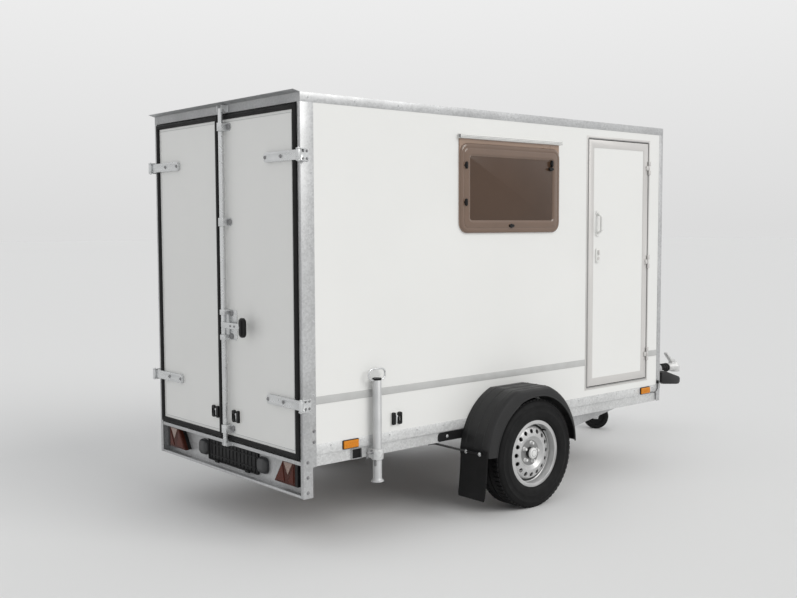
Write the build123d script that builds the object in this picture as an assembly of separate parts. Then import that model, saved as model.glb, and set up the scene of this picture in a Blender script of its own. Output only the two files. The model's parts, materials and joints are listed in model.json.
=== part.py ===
from build123d import *
from math import atan2, cos, degrees, hypot, radians, sin, tan
import os

# Single-axle box trailer with two rear doors, a side door and a tinted window.
# Millimetres. The pieces are drawn with x measured forward from the rear face
# of the box, y to the left of the middle and z up from the ground. When they
# are written, everything shifts so that the origin is the middle of the
# footprint.

# Box
BOX_LENGTH = 3020.0
BOX_WIDTH = 1500.0
ROOF_TOP = 2300.0
FLOOR_TOP = 546.0
SHEET = 2.0              # folded galvanised sheet of the corner and edge profiles
WALL = 22.0              # sandwich panels of the walls
ROOF_PANEL = 25.0
FLOOR_PANEL = 15.0
EDGE_DEPTH = 47.0        # height of the roof edge profiles seen from the side
EDGE_TOP_FLANGE = 42.0
EDGE_TOP_SHEET = 3.0
POST_FLANGE = 80.0       # side flange of a rear corner post
POST_FLANGE_LOW = 58.0   # the same flange below the chassis rail
FRONT_FLANGE = 40.0
JAMB_DEPTH = 45.0
GUTTER_BACK = 40.0       # how far the rain gutter stands back and rises
GUTTER_RISE = 10.0
STOP_DEPTH = 24.0        # how far the door stop hangs below the header
HALF = BOX_WIDTH / 2
WALL_OUT = HALF - SHEET
WALL_IN = WALL_OUT - WALL
JAMB = WALL_IN - SHEET
HEADER_Z = ROOF_TOP - EDGE_DEPTH
ROOF_Z = ROOF_TOP - EDGE_TOP_SHEET
FLOOR_BOTTOM = FLOOR_TOP - FLOOR_PANEL

# Chassis
RAIL_LIP = 55.0          # upper band of a rail, flush with the posts
RAIL_WEB_DEPTH = 60.0    # lower band, set in from the lip
RAIL_SHEET = 3.0
RAIL_STEP_IN = 10.0
RAIL_FLANGE = 50.0
CROSS_WIDTH = 40.0
CROSS_SHARES = (0.238, 0.541, 0.772, 0.972)   # places along the box
RAIL_STEP = FLOOR_TOP - RAIL_LIP
RAIL_BOTTOM = RAIL_STEP - RAIL_WEB_DEPTH
RAIL_WEB = HALF - RAIL_STEP_IN

# Rear doors
DOOR = 28.0
DOOR_GAP = 5.0
DOOR_BELOW_FLOOR = 75.0
DOOR_MEET = 10.0         # meeting line, left of the middle
DOOR_MEET_GAP = 8.0
GASKET_FACE = 28.0       # rubber seen on the face of a door
GASKET_PROUD = 12.0
GASKET_EDGE = 8.0
HINGE_LOW = 282.0        # lower hinge above the bottom of the doors
HINGE_HIGH = 254.0       # upper hinge below their top
HINGE_PIN_BACK = 25.0    # pin behind the rear face
HINGE_PIN_OUT = 18.0     # pin outward of the box side
HINGE_PIN = 6.0
HINGE_KNUCKLE = 11.0
HINGE_HEIGHT = 50.0
HINGE_EAR = 5.0
HINGE_EYE = 12.0
HINGE_WRAP = 47.0        # bracket along the side of the post
STRAP_REACH = 300.0      # strap's tip inward of the box side
STRAP = 5.0
STRAP_GROOVE = 1.5       # channel pressed along a strap
PIN_CLEARANCE = 0.3
CATCH_RISE = 142.0       # catches above the bottom of the doors
CATCH_SIZE = 72.0
CATCH_PLATE = 5.0
CATCH_NOSE = 12.0
CATCH_CHEEK = 0.3        # width of a cheek as a share of the plate
CATCH_FROM_MEET_RIGHT = 143.0
CATCH_FROM_MEET_LEFT = 70.0
DOOR_BOTTOM = FLOOR_TOP - DOOR_BELOW_FLOOR
DOOR_TOP = HEADER_Z - DOOR_GAP
HINGE_LEVELS = (DOOR_BOTTOM + HINGE_LOW, DOOR_TOP - HINGE_HIGH)
HINGE_PIN_Y = HALF + HINGE_PIN_OUT
CATCH_Z = DOOR_BOTTOM + CATCH_RISE

# Rear lamps
CARRIER_DEPTH = 56.0
CARRIER_LIP = 20.0
CARRIER_FOOT = 14.0
CARRIER_HEIGHT = 186.0
LAMP_FROM_SIDE = 92.0
LAMP_WIDTH_LOW = 187.0
LAMP_WIDTH_TOP = 106.0
LAMP_HEIGHT = 128.0
LAMP_DROP = 13.0         # top of a tail lamp below the top of the carrier
LAMP_FACE = 6.0
LAMP_RIM = 24.0          # black rim of a tail lamp outside its lens
LAMP_RIM_SUNK = 4.0
LENS = 26.0
LENS_POCKET = 2.0        # depth of the pale reflector's field
PLATE_SIZE = (526.0, 127.0)
PLATE_FACE = 43.0
PLATE_DROP = 32.0
PLATE_LAMP = (92.0, 90.0)
PLATE_LAMP_FACE = 26.0
CARRIER_TOP = DOOR_BOTTOM - DOOR_GAP - 4.0
POST_BOTTOM = CARRIER_TOP - CARRIER_HEIGHT
REAR_CROSS_X = DOOR + DOOR_GAP + 7.0

# Running gear
AXLE_SHARE = 0.4983      # axle along the box
TYRE_RADIUS = 318.0
TYRE_HALF = 95.0
TYRE_BULGE = 246.0       # radius at which the tyre is widest
TREAD_HALF = 74.0
TYRE_FROM_WALL = 28.0
RIM_RADIUS = 195.0       # outer edge of the rim flange
RIM_SEAT = 180.0
RIM_HALF = 70.0
RIM_OFFSET = 30.0        # mounting face outward of the rim's middle
RIM_SHEET = 6.0
RIM_WELL = 16.0
VENT_COUNT = 16
VENT_RADIUS = 13.0
VENT_CIRCLE = 128.0
CENTRE_BORE = 33.3
HUB_CAP_RADIUS = 31.0
HUB_CAP_LENGTH = 40.0
STUB_RADIUS = 20.0
STUB_CLEARANCE = 1.0
ARM_LENGTH = 158.0
ARM_ANGLE = 18.0
ARM_THICK = 28.0
AXLE_TUBE = 80.0
AXLE_WALL = 6.0
AXLE_PAD = 130.0
BRAKE_PLATE_RADIUS = 125.0
BRAKE_PLATE = 5.0
DRUM_RADIUS = 118.0
DRUM_DEPTH = 65.0
DRUM_GAP = 5.0
AXLE_X = AXLE_SHARE * BOX_LENGTH
AXLE_Z = TYRE_RADIUS
TRACK_HALF = HALF + TYRE_FROM_WALL + TYRE_HALF
ARM_ROOT = (
    AXLE_X + ARM_LENGTH * cos(radians(ARM_ANGLE)),
    AXLE_Z + ARM_LENGTH * sin(radians(ARM_ANGLE)),
)
ARM_OUT = RAIL_WEB + ARM_THICK
PLATE_OUT = ARM_OUT + BRAKE_PLATE
RIM_FACE = TRACK_HALF + RIM_OFFSET

# Mudguards
GUARD_SHIFT = -28.0      # middle of the mudguard from the axle
GUARD_HALF = 387.0
GUARD_FLAT = 140.0
GUARD_TOP = 704.0
GUARD_HEIGHT = 352.0
GUARD_HAUNCH = (277.0, 89.0)   # out from the middle and down from the top
GUARD_SHEET = 4.0
GUARD_WIDTH = 225.0
GUARD_SKIRT = 62.0
GUARD_SHOULDER = 20.0    # rounding of the outer edge
FLAP_CLEAR = 112.0       # flap above the ground
FLAP_SHEET = 4.0
FLAP_CORNER = 18.0
FLAP_LAP = 40.0
STAY_RADIUS = 6.0
STAY_REACH = 200.0       # foot of the stay behind the flap
GUARD_X = AXLE_X + GUARD_SHIFT
GUARD_BOTTOM = GUARD_TOP - GUARD_HEIGHT
GUARD_OUT = HALF + GUARD_WIDTH

# Drawbar and coupling
DRAWBAR_REACH = 1296.0   # tow ball ahead of the box
BEAM_WIDTH = 50.0
BEAM_HEIGHT = 95.0
BEAM_SHEET = 4.0
BEAM_LAP = 1070.0        # how far the beams run under the box
BEAM_END = 351.0         # their front ends behind the tow ball
BEAM_END_Y = 75.0
TOW_AXIS_RISE = 42.0     # overrun tube's axis above the beams
TOW_TUBE_RADIUS = 38.0
HOUSING_LENGTH = 295.0
HOUSING_BASE = 220.0
HOUSING_SHEET = 6.0
BELLOWS_LENGTH = 120.0
BELLOWS_FOLDS = 4
BELLOWS_RADIUS = (27.0, 37.0)
HEAD_LENGTH = 111.0      # tow ball ahead of the bellows
BALL_RADIUS = 25.5
CUP_RADIUS = 42.0
CUP_WALL = 34.0          # straight part of the socket
SLEEVE_RADIUS = 33.0
HEAD_RISE = 40.0         # top of the head above the tube's axis
LEVER_FACE = 116.0       # outer face of the bracket that carries the brake lever
LEVER_WIDTH = 32.0
BRAKE_LEVER = (253.0, 124.0)   # length and height of the brake lever
ROD_RADIUS = 6.0         # brake rod
ROD_DROP = 34.0
EQUALISER = (10.0, 150.0, 30.0)
CABLE_RUN = 120.0        # equaliser ahead of the axle tube
CABLE_SPREAD = 124.0
CABLE_RADIUS = 4.0
BALL_X = BOX_LENGTH + DRAWBAR_REACH
BEAM_REAR = (BOX_LENGTH - BEAM_LAP, RAIL_WEB - RAIL_SHEET - BEAM_WIDTH / 2)
BEAM_FRONT = (BALL_X - BEAM_END, BEAM_END_Y)
BEAM_BOTTOM = RAIL_BOTTOM - BEAM_HEIGHT
TOW_AXIS_Z = RAIL_BOTTOM + TOW_AXIS_RISE
BELLOWS_TO = BALL_X - HEAD_LENGTH
HOUSING_TO = BELLOWS_TO - BELLOWS_LENGTH
HOUSING_FROM = HOUSING_TO - HOUSING_LENGTH
CUP_BOTTOM = TOW_AXIS_Z - TOW_AXIS_RISE
HEAD_TOP = TOW_AXIS_Z + HEAD_RISE

# Jockey wheel
JOCKEY_BACK = 315.0      # behind the front ends of the beams
JOCKEY_TUBE = 24.0
JOCKEY_INNER = 19.0
JOCKEY_CLEARANCE = 0.5
JOCKEY_STAND = 10.0      # tube clear of the beam
JOCKEY_TOP = 760.0
CRANK_REACH = 122.0
CRANK_GRIP = 98.0
JOCKEY_WHEEL_RADIUS = 100.0
JOCKEY_WHEEL_HALF = 25.0
JOCKEY_AXLE = 8.0
JOCKEY_TRAIL = 45.0
JOCKEY_FORK_TOP = 218.0
JOCKEY_FORK_SHEET = 5.0
JOCKEY_SIDE_GAP = 5.0
JOCKEY_TURN = -55.0      # how far the fork is swung at rest, degrees
JOCKEY_X = BEAM_FRONT[0] - JOCKEY_BACK

# Rear legs
LEG_X = 448.0
LEG_RADIUS = 24.0
LEG_OFFSET = 36.0        # tube axis outward of the box side
LEG_FOOT_Z = 302.0
LEG_LENGTH = 548.0
LEG_FOOT_RADIUS = 35.0
LEG_FOOT = 8.0
LEG_FLARE = 12.0         # cone from the foot up to the tube
LEG_CLEARANCE = 0.5
LEG_CLAMP = 9.0          # wall of the clamp round the tube
LEG_CLAMP_HEIGHT = 54.0
LOOP_HALF = 56.0
LOOP_RISE = 50.0
LOOP_DROP = 10.0
LOOP_WIRE = 5.0
LEG_Y = HALF + LEG_OFFSET
LEG_TOP = LEG_FOOT_Z + LEG_LENGTH

# Lock bar of the right rear door
BAR_FROM_MEET = 65.0
BAR_RADIUS = 13.5
BAR_BACK = 30.0
BAR_OVER_HEADER = 24.0
BAR_UNDER_DOOR = 28.0
GUIDE_SHARES = (0.038, 0.674, 0.961)   # places up the door
GUIDE_RADIUS = 20.0
GUIDE_HEIGHT = 44.0
GUIDE_CLEARANCE = 1.0
GUIDE_PLATE = 3.0
LOCK_SHARE = 0.3605      # middle of the lock up the door
LOCK_PLATE_REACH = (92.0, 23.0)        # right and left of the bar
LOCK_PLATE_HEIGHT = 165.0
LOCK_GUIDE_HEIGHT = 28.0
LEVER_LENGTH = 230.0
LEVER_HEIGHT = 32.0
KNOB_BACK = 72.0
KNOB_SIZE = (58.0, 104.0)
KNOB_RIDGE = 8.0         # grip ridge above the case
KEEPER_HALF = 24.0
BAR_Y = DOOR_MEET - BAR_FROM_MEET
BAR_ENDS = (DOOR_BOTTOM - BAR_UNDER_DOOR, HEADER_Z + BAR_OVER_HEADER)
GUIDE_LEVELS = tuple(DOOR_BOTTOM + share * (DOOR_TOP - DOOR_BOTTOM) for share in GUIDE_SHARES)
LOCK_Z = DOOR_BOTTOM + LOCK_SHARE * (DOOR_TOP - DOOR_BOTTOM)
KNOB_Y = BAR_Y - LEVER_LENGTH

# Side door and window
LEAF_FROM_FRONT = 170.0
LEAF_WIDTH = 622.0
LEAF_ABOVE_FLOOR = 63.0
LEAF_BELOW_ROOF = 113.0
LEAF_GAP = 5.0
LEAF_EDGE = 50.0
FRAME_SHEET = 3.0
FRAME_FACE = 14.0
SIDE_PIN_OUT = 9.0
SIDE_HINGE_INSET = 162.0
SIDE_HINGE_HEIGHT = 30.0
SIDE_KNUCKLE = 6.0
SIDE_PIN_RADIUS = 3.0
HANDLE_FROM_EDGE = 90.0
HANDLE_SHARE = 0.6635    # middle of the grip up the leaf
LOCK_BELOW_GRIP = 205.0
WINDOW_FROM_DOOR = 300.0
WINDOW_WIDTH = 848.0
WINDOW_HEIGHT = 529.0
WINDOW_BELOW_ROOF = 168.0
WINDOW_RADIUS = 60.0
WINDOW_INSET = 45.0
WINDOW_LINING = 6.0
PANE = 22.0
PANE_FLANGE = 6.0        # flat edge of the pane
PANE_HANG = 24.0         # part of it that shows under the head rail
FIELD_INSET = 70.0       # sunk field of the pane
FIELD_DEPTH = 6.0
FIELD_RADIUS = 40.0
HEAD_RAIL = 24.0
HEAD_RAIL_OVER = 8.0
LEAF_X = (BOX_LENGTH - LEAF_FROM_FRONT - LEAF_WIDTH, BOX_LENGTH - LEAF_FROM_FRONT)
LEAF_Z = (FLOOR_TOP + LEAF_ABOVE_FLOOR, ROOF_TOP - LEAF_BELOW_ROOF)
FRAME_OUT = LEAF_GAP + FRAME_SHEET + FRAME_FACE
SIDE_PIN = (LEAF_X[1] + LEAF_GAP / 2, -HALF - SIDE_PIN_OUT)
SIDE_HINGES = (
    LEAF_Z[0] + SIDE_HINGE_INSET,
    (LEAF_Z[0] + LEAF_Z[1]) / 2,
    LEAF_Z[1] - SIDE_HINGE_INSET,
)
WINDOW_X = (LEAF_X[0] - WINDOW_FROM_DOOR - WINDOW_WIDTH, LEAF_X[0] - WINDOW_FROM_DOOR)
WINDOW_Z = (ROOF_TOP - WINDOW_BELOW_ROOF - WINDOW_HEIGHT, ROOF_TOP - WINDOW_BELOW_ROOF)

# Side fittings
STRIP_RISE = 202.0       # grey strip above the floor
STRIP_HEIGHT = 40.0
MARKER = (105.0, 48.0, 14.0)
MARKER_FROM_REAR = 297.0
MARKER_FROM_FRONT = 174.0
LEAD_RADIUS = 2.5
LEAD_FROM_END = 30.0     # gland of the marker's lead, from the front of the box
LEAD_RISE = 6.0          # mouth of the gland above the floor
LEAD_ENTRY = 9.0         # where the lead enters the marker, above the rail's step
LEAD_OFF = 7.0           # lead off the post
GLAND = (18.0, 12.0, 22.0)
LEAD_X = BOX_LENGTH - LEAD_FROM_END
LEAD_Z = FLOOR_TOP + LEAD_RISE
STRIP_Z = (FLOOR_TOP + STRIP_RISE, FLOOR_TOP + STRIP_RISE + STRIP_HEIGHT)
MARKER_STATIONS = (MARKER_FROM_REAR, BOX_LENGTH - MARKER_FROM_FRONT)

# Shift that brings the middle of the footprint to the origin
REAR_X = (KNOB_BACK - BALL_X - CUP_RADIUS) / 2


def block(x, y, z):
    """A box between two values on each axis."""
    size = (x[1] - x[0], y[1] - y[0], z[1] - z[0])
    return Pos(sum(x) / 2, sum(y) / 2, sum(z) / 2) * Box(*size)


def about(middle, size):
    """The two ends of a length that is centred on a value."""
    return (middle - size / 2, middle + size / 2)


def face_of(points):
    return make_face(Polyline(*points, close=True))


def along_x(points, x):
    """A (y, z) outline pushed from x[0] to x[1]."""
    return extrude(Plane.YZ.offset(x[0]) * face_of(points), x[1] - x[0])


def along_y(points, y):
    """An (x, z) outline pushed from y[0] to y[1]."""
    return extrude(Plane.XZ.offset(-y[1]) * face_of(points), y[1] - y[0])


def along_z(points, z):
    """An (x, y) outline pushed from z[0] to z[1]."""
    return extrude(Plane.XY.offset(z[0]) * face_of(points), z[1] - z[0])


def bar_x(y, z, radius, x):
    return Pos(sum(x) / 2, y, z) * Rot(0, 90, 0) * Cylinder(radius, x[1] - x[0])


def bar_y(x, z, radius, y):
    return Pos(x, sum(y) / 2, z) * Rot(90, 0, 0) * Cylinder(radius, y[1] - y[0])


def bar_z(x, y, radius, z):
    return Pos(x, y, sum(z) / 2) * Cylinder(radius, z[1] - z[0])


def wire(points, radius):
    """A round bar along straight runs, mitred at the bends."""
    path = Polyline(*points)
    start = Plane(origin=path @ 0, z_dir=path % 0)
    return sweep(start * Circle(radius), path=path, transition=Transition.RIGHT)


def other_side(shape):
    return mirror(shape, about=Plane.XZ)


def both(shape):
    return [shape, other_side(shape)]


def side_rails():
    """Folded rails: a lip flush with the posts, a web set in from it and a foot."""
    out, web, t = -HALF, -RAIL_WEB, RAIL_SHEET
    outline = [
        (out, FLOOR_TOP),
        (out, RAIL_STEP),
        (web, RAIL_STEP),
        (web, RAIL_BOTTOM),
        (web + RAIL_FLANGE, RAIL_BOTTOM),
        (web + RAIL_FLANGE, RAIL_BOTTOM + t),
        (web + t, RAIL_BOTTOM + t),
        (web + t, RAIL_STEP + t),
        (out + t, RAIL_STEP + t),
        (out + t, FLOOR_TOP),
    ]
    return both(along_x(outline, (POST_FLANGE, BOX_LENGTH - FRONT_FLANGE)))


def channel(x, z):
    """A cross member open to the front, fitted between the webs of the rails."""
    t = RAIL_SHEET
    reach = RAIL_WEB - t
    end = x + CROSS_WIDTH
    shell = block((x, end), (-reach, reach), z)
    hollow = block((x + t, end + t), (-reach, reach), (z[0] + t, z[1] - t))
    return shell - hollow


def cross_members():
    z = (RAIL_BOTTOM + RAIL_SHEET, FLOOR_BOTTOM)
    members = [channel(share * BOX_LENGTH, z) for share in CROSS_SHARES]
    members.append(channel(REAR_CROSS_X, (CARRIER_TOP, FLOOR_BOTTOM)))
    return members


def beam_y(x):
    """Middle line of the left drawbar beam."""
    (xr, yr), (xf, yf) = BEAM_REAR, BEAM_FRONT
    return yr + (yf - yr) * (x - xr) / (xf - xr)


BEAM_RUN = BEAM_FRONT[0] - BEAM_REAR[0]
BEAM_DROP = BEAM_FRONT[1] - BEAM_REAR[1]
BEAM_SIDE = BEAM_WIDTH / 2 * hypot(BEAM_RUN, BEAM_DROP) / BEAM_RUN   # half width across


def beam_outline(half):
    x0, x1 = BEAM_REAR[0], BEAM_FRONT[0]
    return [
        (x0, beam_y(x0) - half),
        (x1, beam_y(x1) - half),
        (x1, beam_y(x1) + half),
        (x0, beam_y(x0) + half),
    ]


def drawbar_beams():
    t = BEAM_SHEET
    outer = along_z(beam_outline(BEAM_SIDE), (BEAM_BOTTOM, RAIL_BOTTOM))
    inner = along_z(beam_outline(BEAM_SIDE - t), (BEAM_BOTTOM + t, RAIL_BOTTOM - t))
    return both(outer - inner)


BASE_TO = HOUSING_FROM + HOUSING_BASE
LEVER_PIVOT = BASE_TO - 55.0


def overrun_housing():
    """Tube of the overrun device on its base, with the cheek for the brake lever."""
    t = HOUSING_SHEET
    deck = (RAIL_BOTTOM, RAIL_BOTTOM + t)
    base = block((HOUSING_FROM, BASE_TO), (-LEVER_FACE, LEVER_FACE), deck)
    tube = bar_x(0, TOW_AXIS_Z, TOW_TUBE_RADIUS, (HOUSING_FROM, HOUSING_TO))
    saddle_y = about(0, 1.6 * TOW_TUBE_RADIUS)
    saddle = block((HOUSING_FROM + 30, BASE_TO - 20), saddle_y, (RAIL_BOTTOM, TOW_AXIS_Z))
    cheek_z = (RAIL_BOTTOM, TOW_AXIS_Z + 8)
    cheek = block(about(LEVER_PIVOT, 75), (-LEVER_FACE, t - LEVER_FACE), cheek_z)
    return base + tube + saddle + cheek


def overrun_bellows():
    """Rubber folds between the housing and the coupling head."""
    low, high = BELLOWS_RADIUS
    pitch = BELLOWS_LENGTH / BELLOWS_FOLDS
    edge = []
    for i in range(BELLOWS_FOLDS):
        x = HOUSING_TO + i * pitch
        edge += [(x, low), (x + pitch / 2, high)]
    edge.append((BELLOWS_TO, low))
    outline = face_of([(HOUSING_TO, 0.0)] + edge + [(BELLOWS_TO, 0.0)])
    crests = outline.vertices().filter_by_position(Axis.Y, high - 1, high + 1)
    outline = fillet(crests, pitch / 6)
    return Pos(0, 0, TOW_AXIS_Z) * revolve(outline, Axis.X)


def coupling_head():
    """Sleeve and cup over the tow ball, with the boss that carries the handle."""
    sleeve = bar_x(0, TOW_AXIS_Z, SLEEVE_RADIUS, (BELLOWS_TO, BALL_X))
    shoulder = CUP_BOTTOM + CUP_WALL + 12
    cup = bar_z(BALL_X, 0, CUP_RADIUS, (CUP_BOTTOM, shoulder))
    crown_height = HEAD_TOP - 8 - shoulder
    crown = Pos(BALL_X, 0, shoulder + crown_height / 2)
    crown *= Cone(CUP_RADIUS, CUP_RADIUS - 18, crown_height)
    boss = block((BALL_X - 62, BALL_X - 2), about(0, 38), (TOW_AXIS_Z, HEAD_TOP))
    socket = bar_z(BALL_X, 0, BALL_RADIUS, (CUP_BOTTOM - CUP_WALL, CUP_BOTTOM + CUP_WALL))
    roof = Pos(BALL_X, 0, CUP_BOTTOM + CUP_WALL + 7) * Cone(BALL_RADIUS, BALL_RADIUS - 9, 14)
    below = block((BELLOWS_TO, BALL_X + CUP_RADIUS), about(0, 120), (0, CUP_BOTTOM))
    return sleeve + cup + crown + boss - socket - roof - below


def coupling_handle():
    x, z = BALL_X - 58, HEAD_TOP
    outline = [
        (x, z),
        (x + 52, z),
        (x + 40, z + 20),
        (x - 10, z + 34),
        (x - 62, z + 86),
        (x - 78, z + 84),
        (x - 76, z + 70),
        (x - 22, z + 18),
    ]
    return along_y(outline, about(0, 34))


def handbrake_lever():
    """Pressed lever lying forward beside the coupling."""
    length, height = BRAKE_LEVER
    x, z = LEVER_PIVOT - 0.12 * length, TOW_AXIS_Z - 0.93 * height
    shares = [
        (0.00, 0.29),
        (0.00, 0.90),
        (0.08, 1.00),
        (0.20, 0.97),
        (0.95, 0.47),
        (1.00, 0.34),
        (0.99, 0.11),
        (0.93, 0.00),
        (0.81, 0.00),
        (0.10, 0.15),
    ]
    outline = [(x + length * along, z + height * up) for along, up in shares]
    return along_y(outline, (-LEVER_FACE - LEVER_WIDTH, -LEVER_FACE))


def brake_rod():
    """Rod from the overrun device to the equaliser, and the two cables to the axle."""
    z = RAIL_BOTTOM - ROD_DROP
    start = (HOUSING_FROM + 0.25 * HOUSING_BASE, 0, RAIL_BOTTOM)
    knee = (HOUSING_FROM + 0.1 * HOUSING_BASE, 0, z)
    end = ARM_ROOT[0] + AXLE_TUBE / 2
    rod = wire([start, knee, (end + CABLE_RUN, 0, z)], ROD_RADIUS)
    rod -= block(about(start[0], ROD_DROP), about(0, ROD_DROP), about(RAIL_BOTTOM + 10, 20))
    depth, width, height = EQUALISER
    rod += block(about(end + CABLE_RUN, depth), about(0, width), about(z, height))
    for side in (-1, 1):
        rod += bar_x(side * CABLE_SPREAD / 2, z, CABLE_RADIUS, (end, end + CABLE_RUN))
    return rod


def axle_tube():
    """Square torsion tube hung under the rails on two pads."""
    x, z = ARM_ROOT
    tube = block(about(x, AXLE_TUBE), (-RAIL_WEB, RAIL_WEB), about(z, AXLE_TUBE))
    bore = AXLE_TUBE - 2 * AXLE_WALL
    inside = block(about(x, bore), (-RAIL_WEB, RAIL_WEB), about(z, bore))
    pad = block(about(x, AXLE_PAD), (-RAIL_WEB, -RAIL_WEB + RAIL_FLANGE), (z, RAIL_BOTTOM))
    return tube + pad + other_side(pad) - inside


def axle_arms():
    """Trailing arm, stub axle and brake back plate of each wheel."""
    x, z = ARM_ROOT
    y = (RAIL_WEB, ARM_OUT)
    root, eye = 0.6 * AXLE_TUBE, 1.8 * STUB_RADIUS
    web = along_y(
        [
            (AXLE_X, AXLE_Z - eye),
            (x, z - root),
            (x, z + root),
            (AXLE_X, AXLE_Z + eye),
        ],
        y,
    )
    arm = web + bar_y(x, z, root, y) + bar_y(AXLE_X, AXLE_Z, eye, y)
    plate = bar_y(AXLE_X, AXLE_Z, BRAKE_PLATE_RADIUS, (ARM_OUT, PLATE_OUT))
    stub = bar_y(AXLE_X, AXLE_Z, STUB_RADIUS, (ARM_OUT, RIM_FACE))
    return both(arm + plate + stub)


def turned(outline):
    """A left wheel piece turned from (outward, radius) points."""
    points = [(r, d) for d, r in outline]
    return Pos(AXLE_X, TRACK_HALF, AXLE_Z) * revolve(face_of(points), Axis.Y)


def hub():
    """Brake drum, wheel flange and dust cap, running on the stub axle."""
    back = PLATE_OUT + DRUM_GAP - TRACK_HALF
    drum_end = back + DRUM_DEPTH
    bore = STUB_RADIUS + STUB_CLEARANCE
    depth = RIM_OFFSET + 12
    flange = RIM_OFFSET - 12
    cap_end = RIM_OFFSET + HUB_CAP_LENGTH
    return turned(
        [
            (back, bore),
            (back, DRUM_RADIUS),
            (drum_end, DRUM_RADIUS),
            (drum_end, 62),
            (flange, 62),
            (flange, 82),
            (RIM_OFFSET, 82),
            (RIM_OFFSET, HUB_CAP_RADIUS),
            (cap_end - 8, HUB_CAP_RADIUS),
            (cap_end, HUB_CAP_RADIUS - 10),
            (cap_end, 0),
            (depth, 0),
            (depth, bore),
        ]
    )


def rim():
    """Steel rim with its drop centre, and the pressed disc with its vent holes."""
    edge, seat, t = RIM_RADIUS, RIM_SEAT, RIM_SHEET
    half, well = RIM_HALF, RIM_SEAT - RIM_WELL
    barrel = turned(
        [
            (-half - t, edge),
            (-half, edge),
            (-half, seat),
            (-40, seat),
            (-30, well),
            (15, well),
            (28, seat),
            (half, seat),
            (half, edge),
            (half + t, edge),
            (half + t, seat - t),
            (30, seat - t),
            (18, well - t),
            (-33, well - t),
            (-43, seat - t),
            (-half - t, seat - t),
        ]
    )
    face = RIM_OFFSET
    ring = well - t / 2
    crest = VENT_CIRCLE - 14
    disc = turned(
        [
            (face, CENTRE_BORE),
            (face + t, CENTRE_BORE),
            (face + t, 78),
            (face + 24, 98),
            (face + 24, crest),
            (face + 12, ring - 13),
            (face - 10, ring),
            (face - 18, ring),
            (face + 4, ring - 16),
            (face + 17, crest - 2),
            (face + 17, 102),
            (face, 83),
        ]
    )
    wheel = barrel + disc
    vent = bar_y(AXLE_X, AXLE_Z, VENT_RADIUS, (TRACK_HALF + 8, TRACK_HALF + RIM_HALF))
    for i in range(VENT_COUNT):
        turn = radians(360.0 * i / VENT_COUNT)
        wheel -= Pos(VENT_CIRCLE * cos(turn), 0, VENT_CIRCLE * sin(turn)) * vent
    return wheel


def tyre():
    """Tyre with a plain tread, closed on the rim's flanges."""
    lip = RIM_HALF + RIM_SHEET
    seat = RIM_RADIUS + 0.2
    half = [(lip, seat), (TYRE_HALF, TYRE_BULGE), (TREAD_HALF, TYRE_RADIUS)]
    return turned(half + [(-d, r) for d, r in reversed(half)])


def guard_outline(inset):
    """Closed side view of a mudguard, drawn in by an inset."""
    half, flat, top = GUARD_HALF - inset, GUARD_FLAT, GUARD_TOP - inset
    out, down = GUARD_HAUNCH
    haunch_x, haunch_z = out - 0.75 * inset, GUARD_TOP - down - 0.66 * inset
    x, low = GUARD_X, GUARD_BOTTOM
    rear = ThreePointArc((x - half, low), (x - haunch_x, haunch_z), (x - flat, top))
    crown = Line((x - flat, top), (x + flat, top))
    front = ThreePointArc((x + flat, top), (x + haunch_x, haunch_z), (x + half, low))
    foot = Line((x + half, low), (x - half, low))
    return make_face(Curve() + [rear, crown, front, foot])


def guard_solid(inset, out, shoulder):
    """The side view pushed out from the wall, with its outer edge lofted round."""
    edge = out - shoulder
    solid = extrude(Plane.XZ.offset(-edge) * guard_outline(inset), edge - HALF)
    turns = [radians(a) for a in (0, 30, 60, 90)]
    rings = []
    for turn in turns:
        drawn_in = inset + shoulder * (1 - cos(turn))
        rings.append(Plane.XZ.offset(-edge - shoulder * sin(turn)) * guard_outline(drawn_in))
    return solid + loft(rings, ruled=True)


def mudguards():
    """Moulded shells, open below and on the wall's side, with a skirt outside the wheel."""
    sheet, out = GUARD_SHEET, GUARD_OUT
    shell = guard_solid(0, out, GUARD_SHOULDER)
    shell -= guard_solid(sheet, out - sheet, GUARD_SHOULDER - sheet)
    mouth = extrude(Plane.XZ.offset(-out) * guard_outline(GUARD_SKIRT), 2 * sheet)
    return both(shell - mouth)


FLAP_X = GUARD_X - GUARD_HALF


def mudflaps():
    y = (HALF + 8, GUARD_OUT - 6)
    z = (FLAP_CLEAR, GUARD_BOTTOM + FLAP_LAP)
    flap = block((FLAP_X - FLAP_SHEET, FLAP_X), y, z)
    return both(fillet(flap.edges().filter_by(Axis.X).group_by(Axis.Z)[0], FLAP_CORNER))


def guard_stays():
    """Round bar from the underside of a rail to the back of the flap."""
    x = FLAP_X - FLAP_SHEET - STAY_RADIUS
    foot_y = RAIL_WEB - RAIL_FLANGE / 2
    points = [
        (x - STAY_REACH, foot_y, RAIL_BOTTOM - STAY_RADIUS),
        (x - 0.8 * STAY_REACH, foot_y, RAIL_BOTTOM - STAY_RADIUS),
        (x, HALF + 0.3 * STAY_REACH, GUARD_BOTTOM + FLAP_LAP / 2),
        (x, GUARD_OUT - 6 * STAY_RADIUS, GUARD_BOTTOM + FLAP_LAP / 2),
    ]
    return both(wire(points, STAY_RADIUS))


def floor_panel():
    y = HALF - RAIL_SHEET
    return block((REAR_CROSS_X, BOX_LENGTH - SHEET), (-y, y), (FLOOR_BOTTOM, FLOOR_TOP))


WALL_Z = (FLOOR_TOP, ROOF_Z - ROOF_PANEL)
WALL_X = (SHEET, BOX_LENGTH - SHEET)


def side_wall():
    return block((WALL_X[0], WALL_X[1] - WALL), (WALL_IN, WALL_OUT), WALL_Z)


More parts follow.
